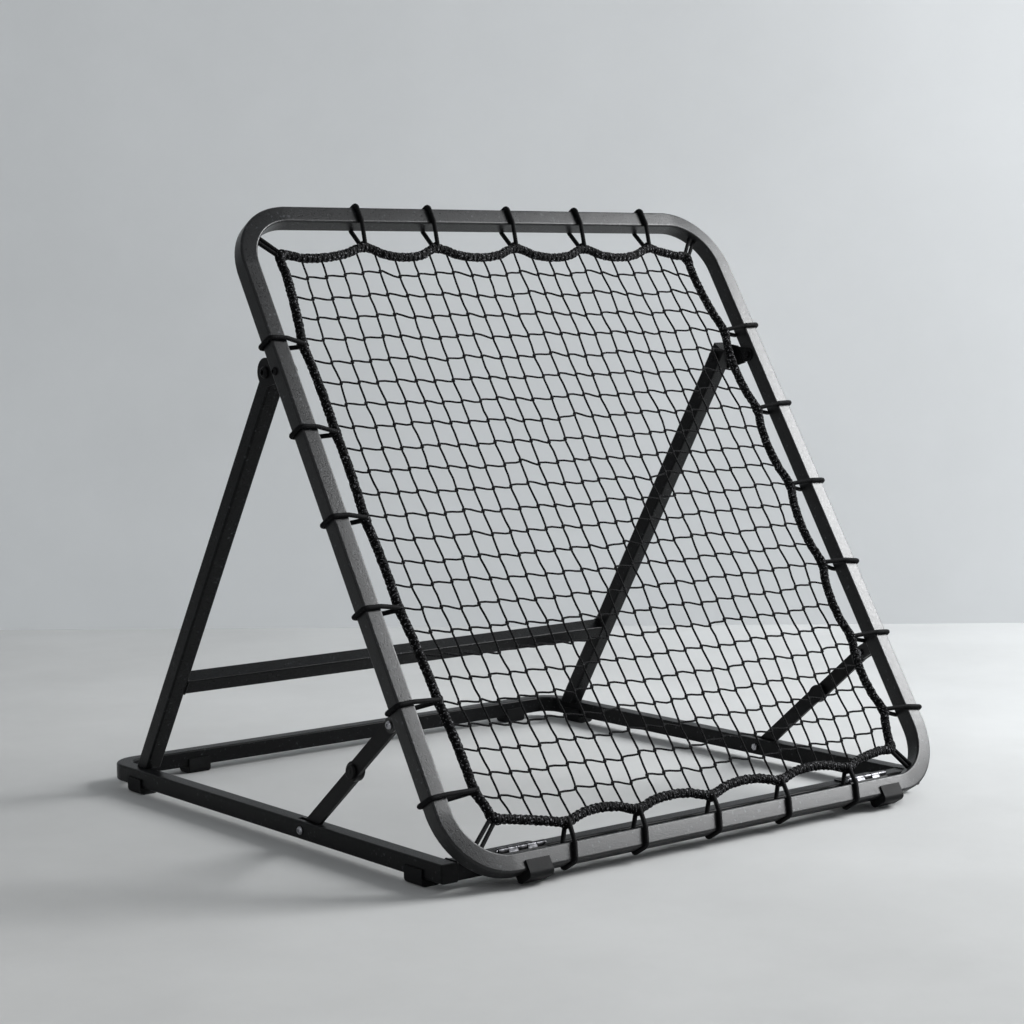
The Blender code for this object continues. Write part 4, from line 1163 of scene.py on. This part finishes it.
def side_of_rope(side, start, end, first_sag, last_sag):
    """Route points from one corner past the catches of a side, up to the next corner."""
    stops = [CORNERS[start], *CATCHES[side], CORNERS[end]]
    sags = [first_sag] + [SAGS[side]] * (len(stops) - 3) + [last_sag]
    points = []
    for index, sag in enumerate(sags):
        points += hang(stops[index], stops[index + 1], INWARD[side], sag)
    return points


def smooth_route(points, step):
    """A closed Catmull-Rom curve through 2-D points, sampled about every step."""
    count = len(points)
    route = []
    for index in range(count):
        a, b, c, d = (points[(index + offset) % count] for offset in (-1, 0, 1, 2))
        parts = max(2, round((c - b).length / step))
        for part in range(parts):
            t = part / parts
            route.append(0.5 * (2 * b + (c - a) * t + (2 * a - 5 * b + 4 * c - d) * t * t
                                + (3 * b - a - 3 * c + d) * t ** 3))
    return route


waypoints = side_of_rope("bottom", "BL", "BR", 0.0, 0.004)
waypoints += side_of_rope("right", "BR", "TR", 0.0, 0.006)
waypoints += side_of_rope("top", "TR", "TL", 0.001, 0.011)
waypoints += side_of_rope("left", "TL", "BL", 0.002, 0.0)
ROUTE = smooth_route(waypoints, 0.0011)
runs = [0.0]
for index in range(1, len(ROUTE)):
    runs.append(runs[-1] + (ROUTE[index] - ROUTE[index - 1]).length)
print("rope route:", len(ROUTE), "points,", round(runs[-1], 2), "m")

# %% [markdown]
# Crochet gives the rope plump stitches in a spiral. Two waves that climb round the rope in
# opposite directions raise the stitches where they meet, a noise makes them uneven, and
# the cord finish adds the finer strands. The rope is thicker where it is tied.

# %% Border rope
STITCH = 0.0090


def nearest(spot):
    """The index of the route point nearest to a spot."""
    return min(range(len(ROUTE)), key=lambda index: (ROUTE[index] - Vector(spot)).length)


bunches = [(runs[nearest(spot)], 0.16, 0.007) for catches in CATCHES.values() for spot in catches]
bunches += [(runs[nearest(spot)], 0.30, 0.009) for spot in CORNERS.values()]
unevenness = random.Random(5)
WOBBLE = [(unevenness.uniform(0.006, 0.030), unevenness.uniform(0.0, 6.28)) for _ in range(5)]


def near_bunches(run):
    return [bunch for bunch in bunches if abs(run - bunch[0]) < 3 * bunch[2]]


def stitch_swell(turn, run):
    """Crossing stitches, slow unevenness, and bunching where the rope is tied."""
    climb = 2 * math.pi * run / STITCH
    stitches = 0.045 * (math.cos(2 * turn - climb) + math.cos(2 * turn + climb))
    stitches += 0.11 * noise.noise((math.cos(turn), math.sin(turn), run * 260.0))
    uneven = sum(
        0.012 * math.sin(2 * math.pi * run / pitch + start + turn) for pitch, start in WOBBLE
    )
    bunch = sum(
        rise * math.exp(-((run - spot) / reach) ** 2) for spot, rise, reach in near_bunches(run)
    )
    return 1.0 + stitches + uneven + bunch


rope_points = [(point.x, MID_DEPTH, point.y) for point in ROUTE]
rope = mesh_piece(sweep(rope_points, ROPE_RADIUS * 0.96, 16, (0.0, 1.0, 0.0), True, stitch_swell))
finish(rope, "crocheted_border_rope", RING, CROCHET, ["border_rope"], LEAN_BACK, 80.0)

# %% [markdown]
# ## The knotted net
#
# The knots form a grid of about 24 by 25 meshes. Each edge of the grid is spread along the
# rope. The inner knots start as a blend of the four edges and then relax: each moves toward
# the mean of its neighbours, as tension would pull it. The net also bellies back a little,
# and every knot gets a small random push, because hand-sized knots never sit evenly.

# %% Places of the knots
ACROSS, UP = 24, 25
TWINE_RADIUS = 0.0017


def edge_points(start, end, count):
    """Points spread evenly along the rope route from one corner to the next."""
    first = nearest(start)
    span = (nearest(end) - first) % len(ROUTE)
    return [ROUTE[(first + round(span * index / count)) % len(ROUTE)] for index in range(count + 1)]


low_edge = edge_points(CORNERS["BL"], CORNERS["BR"], ACROSS)
high_edge = list(reversed(edge_points(CORNERS["TR"], CORNERS["TL"], ACROSS)))
right_edge = edge_points(CORNERS["BR"], CORNERS["TR"], UP)
left_edge = list(reversed(edge_points(CORNERS["TL"], CORNERS["BL"], UP)))


def blend_of_edges(i, j):
    u, v = i / ACROSS, j / UP
    rule = (1 - v) * low_edge[i] + v * high_edge[i] + (1 - u) * left_edge[j] + u * right_edge[j]
    ends = ((1 - u) * (1 - v) * low_edge[0] + u * (1 - v) * low_edge[-1]
            + (1 - u) * v * high_edge[0] + u * v * high_edge[-1])
    return rule - ends


def relaxed_knots():
    start = [[blend_of_edges(i, j) for j in range(UP + 1)] for i in range(ACROSS + 1)]
    knots = [[point.copy() for point in column] for column in start]
    for _ in range(120):
        for i in range(1, ACROSS):
            for j in range(1, UP):
                across, along = knots[i - 1][j] + knots[i + 1][j], knots[i][j - 1] + knots[i][j + 1]
                knots[i][j] = (across + along) / 4
    chance = random.Random(11)
    placed = []
    for i in range(ACROSS + 1):
        column = []
        for j in range(UP + 1):
            spot = 0.35 * start[i][j] + 0.65 * knots[i][j]
            belly = 0.007 * math.sin(math.pi * i / ACROSS) * math.sin(math.pi * j / UP)
            if 0 < i < ACROSS and 0 < j < UP:
                spot = spot + Vector((chance.gauss(0.0, 0.0012), chance.gauss(0.0, 0.0012)))
            column.append(Vector((spot.x, MID_DEPTH + belly, spot.y)))
        placed.append(column)
    return placed


KNOTS = relaxed_knots()
print("knots:", (ACROSS + 1) * (UP + 1))

# %% [markdown]
# The twine runs through a knot sideways with a small step: it leaves a knot a little high
# and reaches the next one a little low. This step gives the meshes their soft brick-like
# corners. Upright strands bend a little at each knot too. A strand is a slender sweep, and
# a knot is a small squashed ball of a few faces, modelled once and copied.

# %% Strands and knots
KNOT_STEP = 0.0024
KNOT_SIZE = (0.0030, 0.0025, 0.0036)


def strand_through(knots, sideways, chance):
    """Points of one strand with a little slack between its knots."""
    points = []
    for index, knot in enumerate(knots[:-1]):
        following = knots[index + 1]
        run = following - knot
        slack = Vector((chance.gauss(0.0, 0.0005), 0.0, chance.gauss(0.0, 0.0005)))
        if sideways:
            lift, drop = Vector((0.0, 0.0, KNOT_STEP)), Vector((0.0, 0.0, -KNOT_STEP))
            points.append(knot)
            points.append(knot + 0.10 * run + 0.9 * lift)
            points.append(knot + 0.36 * run + 0.45 * lift + slack)
            points.append(knot + 0.66 * run + 0.5 * drop + slack)
            points.append(knot + 0.90 * run + 0.9 * drop)
        else:
            shift = Vector((KNOT_STEP * 0.35, 0.0, 0.0))
            points.append(knot)
            points.append(knot + 0.15 * run + shift)
            points.append(knot + 0.50 * run + slack)
            points.append(knot + 0.85 * run - shift)
    points.append(knots[-1])
    return points


def model_knot():
    let_go()
    bpy.ops.mesh.primitive_uv_sphere_add(segments=8, ring_count=5, radius=1.0)
    bpy.context.object.scale = KNOT_SIZE
    return settle(bpy.context.object)


def model_net():
    chance = random.Random(23)
    strands = [strand_through(column, False, chance) for column in KNOTS[1:-1]]
    for j in range(1, UP):
        strands.append(strand_through([KNOTS[i][j] for i in range(ACROSS + 1)], True, chance))
    pieces = [mesh_piece(sweep(points, TWINE_RADIUS, 6, (0.0, 1.0, 0.0))) for points in strands]
    ball = model_knot()
    for i in range(1, ACROSS):
        for j in range(1, UP):
            turn = Matrix.Rotation(chance.uniform(-0.6, 0.6), 4, "Y")
            pieces.append(copy_piece(ball, Matrix.Translation(KNOTS[i][j]) @ turn))
    bpy.data.objects.remove(ball, do_unlink=True)
    return join_pieces(pieces)


finish(model_net(), "knotted_net", RING, TWINE, ["net"], LEAN_BACK, 80.0)

# %% [markdown]
# ## Elastic loops
#
# A ring of elastic cord goes round the tube and the rope at each catch. Seen along the
# tube it is a belt round five circles: the four tube corners and the rope. Where the ring
# is closed, just inside the rope, the cord is doubled and makes a small lump.

# %% Loop section
LOOP_RADIUS = 0.0036
ROPE_GRIP = 0.0042


def arc(centre, radius, start, sweep_angle, step):
    count = max(1, math.ceil(sweep_angle / step))
    angles = [start + sweep_angle * index / count for index in range(count + 1)]
    return [(centre[0] + radius * math.cos(a), centre[1] + radius * math.sin(a)) for a in angles]


def belt(circles):
    """A belt run counter-clockwise round circles (centre, radius)."""
    touches = []
    for index, (centre, radius) in enumerate(circles):
        next_centre, next_radius = circles[(index + 1) % len(circles)]
        run = Vector(next_centre) - Vector(centre)
        touches.append(math.atan2(run.y, run.x) - math.acos((radius - next_radius) / run.length))
    points = []
    for index, (centre, radius) in enumerate(circles):
        start = touches[index - 1]
        turn = (touches[index] - start) % (2 * math.pi)
        points += arc(centre, radius, start, turn, math.radians(18))
    return points


def loop_route(anchor, catch):
    """Round the tube at the anchor and round the rope at the catch; both are (across, height)."""
    anchor, catch = Vector(anchor), Vector(catch)
    inward = catch - anchor
    distance = inward.length
    heading = inward.normalized()
    flat = MID_DEPTH - TUBE_CORNER
    wrap = LOOP_RADIUS - 0.0002
    corners = [((-flat, -flat), wrap + TUBE_CORNER), ((flat, -flat), wrap + TUBE_CORNER)]
    corners += [((distance, 0.0), ROPE_GRIP)]
    corners += [((flat, flat), wrap + TUBE_CORNER), ((-flat, flat), wrap + TUBE_CORNER)]
    points = []
    for inward_run, depth in belt(corners):
        spot = anchor + heading * inward_run
        points.append(Vector((spot.x, MID_DEPTH + depth, spot.y)))
    return dense_loop(points)


# %% Elastic loops
LUMP_SIZE = (0.0066, 0.0072, 0.0062)
LUMP_GIRTH, LUMP_LENGTH = 0.025, 0.02


def model_loop(anchor, catch, seed):
    chance = random.Random(seed)
    route = loop_route(anchor, catch)
    inward = Vector((catch[0] - anchor[0], 0.0, catch[1] - anchor[1])).normalized()
    plane = inward.cross(Vector((0.0, 1.0, 0.0)))
    ring = mesh_piece(sweep(route, LOOP_RADIUS, 10, plane, closed=True))
    rope_side = Vector((catch[0], MID_DEPTH, catch[1])) - 0.0045 * inward
    let_go()
    bpy.ops.mesh.primitive_uv_sphere_add(
        segments=14, ring_count=9, radius=1.0, rotation=(0.0, chance.uniform(-0.5, 0.5), 0.0),
    )
    lump = bpy.context.object
    lump.scale = LUMP_SIZE
    settle(lump).data.transform(Matrix.Translation(rope_side))
    for layer in lump.data.uv_layers:
        layer.name = CORD_MAP
        for spot in layer.uv:
            spot.vector = (spot.vector.x * LUMP_GIRTH, spot.vector.y * LUMP_LENGTH)
    return join_pieces([ring, lump])


TUBE_MIDDLE = NET_WIDTH / 2 - TUBE / 2
LOOP_SLANT = 0.0170
HOLDS = {
    "left": (0.1254, 0.2655, 0.4144, 0.5610, 0.7072, 0.8575),
    "right": (0.1325, 0.2680, 0.4011, 0.5537, 0.7042, 0.8597),
}
loops = {}
for index, (x, height) in enumerate(CATCHES["bottom"]):
    loops["bottom_%d" % (index + 1)] = ((x - LOOP_SLANT, TUBE / 2), (x, height))
for index, (x, height) in enumerate(reversed(CATCHES["top"])):
    loops["top_%d" % (index + 1)] = ((x, NET_HEIGHT - TUBE / 2), (x, height))
for index, height in enumerate(HOLDS["left"]):
    loops["left_%d" % (index + 1)] = ((-TUBE_MIDDLE, height), CATCHES["left"][5 - index])
for index, height in enumerate(HOLDS["right"]):
    loops["right_%d" % (index + 1)] = ((TUBE_MIDDLE, height), CATCHES["right"][index])
for seed, (label, (anchor, catch)) in enumerate(sorted(loops.items())):
    finish(
        model_loop(anchor, catch, seed), "elastic_loop_" + label, RING, ELASTIC,
        ["bungee_loop_" + label], LEAN_BACK, 80.0,
    )

# %% [markdown]
# In each corner the rope is lashed to the inside of the bend by a doubled elastic cord. The
# two strands run side by side with a chink of light between them.

# %% Corner lashings
LASHING_RADIUS = 0.0033
LASHINGS = {
    "bottom_left": ((-0.4400, 0.0495), CORNERS["BL"]),
    "bottom_right": ((0.4380, 0.0410), CORNERS["BR"]),
    "top_right": ((0.4480, 1.0440), CORNERS["TR"]),
    "top_left": ((-0.4530, 1.0390), CORNERS["TL"]),
}


def model_lashing(start, end):
    start = Vector((start[0], MID_DEPTH, start[1]))
    end = Vector((end[0], MID_DEPTH, end[1]))
    run = (end - start).normalized()
    aside = run.cross(Vector((0.0, 1.0, 0.0)))
    half, near = 0.0046, 0.0046 * 0.8
    points = [start + aside * half - run * 0.001, end + aside * near]
    for step in range(1, 8):
        angle = math.pi * step / 8
        points.append(end + aside * near * math.cos(angle) + run * 0.0075 * math.sin(angle))
    points += [end - aside * near, start - aside * half - run * 0.001]
    for step in range(1, 6):
        angle = math.pi * step / 6
        back = run * (0.001 + 0.004 * math.sin(angle))
        points.append(start - back - aside * half * math.cos(angle))
    return mesh_piece(sweep(dense_loop(points), LASHING_RADIUS, 10, (0.0, 1.0, 0.0), closed=True))


for label, (start, end) in LASHINGS.items():
    lashing, name = model_lashing(start, end), "corner_lashing_" + label
    finish(lashing, name, RING, ELASTIC, (), LEAN_BACK, 80.0)

# %% [markdown]
# ## The studio
#
# A pale concrete floor and a pale wall stand around the object. One broad soft lamp is on
# the right in front, a weak one fills in from the left, and the world gives an even light.
# Floor and wall are painted lighter on the left and darker on the right, painted light
# that evens out the broad lamp's fall-off.

# %% Floor, wall and light
def make_plaster_with_painted_light(name, left, right, clouds):
    """Cloudy plaster that shades from one grey to another across the width of the scene; this is
    painted light and shade that evens out the key lamp.
    """
    plaster = Finish(name, Roughness=0.85, Specular_IOR_Level=0.2)
    place = plaster.place()
    cloud = plaster.noise(place, 1.4, 6.0, 0.62)
    # Painted light and shade: the colour runs from the left grey to the right grey across X,
    # against the key lamp's fall-off.
    across = plaster.add("SeparateXYZ", Vector=place).outputs["X"]
    share = plaster.add("MapRange", Value=across, From_Min=-1.3, From_Max=1.2).outputs["Result"]
    shade = plaster.ramp(share, [(0.0, left), (1.0, right)])
    patch = plaster.ramp(cloud, [(0.30, 1.0 - clouds), (0.70, 1.0)])
    multiply = {"data_type": "RGBA", "blend_type": "MULTIPLY"}
    colour = plaster.add("Mix", multiply, _0=1.0, _6=shade, _7=patch)
    return plaster.wire(Base_Color=colour.outputs[2]).material


def add_stage(name, size, place, turn, material):
    let_go()
    bpy.ops.mesh.primitive_plane_add(size=size, location=place, rotation=turn)
    plane = bpy.context.object
    plane.name = name
    plane.data.materials.append(material)


def add_lamp(name, place, target, size, power, tone):
    bpy.ops.object.light_add(type="AREA", location=place)
    lamp = bpy.context.object
    lamp.name = name
    lamp.rotation_euler = (Vector(target) - Vector(place)).to_track_quat("-Z", "Y").to_euler()
    lamp.data.size = size
    lamp.data.energy = power
    lamp.data.color = tone


FLOOR = make_plaster_with_painted_light("concrete_floor", (0.64, 0.64, 0.63), (0.58, 0.59, 0.59), 0.14)
WALL = make_plaster_with_painted_light("plaster_wall", (0.92, 0.94, 0.95), (0.72, 0.735, 0.745), 0.07)
add_stage("floor", 30.0, (0.0, 0.0, 0.0), (0.0, 0.0, 0.0), FLOOR)
WALL_YAW = math.radians(-40.0)
WALL_PLACE = (1.22, 1.42, 5.0)
add_stage("wall", 30.0, WALL_PLACE, (math.pi / 2, 0.0, WALL_YAW), WALL)
add_lamp("key_light", (3.6, -1.9, 2.7), (0.1, 0.0, 0.4), 2.0, 290.0, (0.98, 0.99, 1.0))
add_lamp("fill_light", (-3.5, -2.5, 2.8), (0.0, 0.0, 0.4), 2.5, 15.0, (0.96, 0.98, 1.0))
world = bpy.data.worlds.new("studio_world")
world.use_nodes = True
sky = world.node_tree.nodes["Background"]
sky.inputs["Color"].default_value = (0.90, 0.93, 0.96, 1.0)
sky.inputs["Strength"].default_value = 0.30
bpy.context.scene.world = world
print("studio ready")
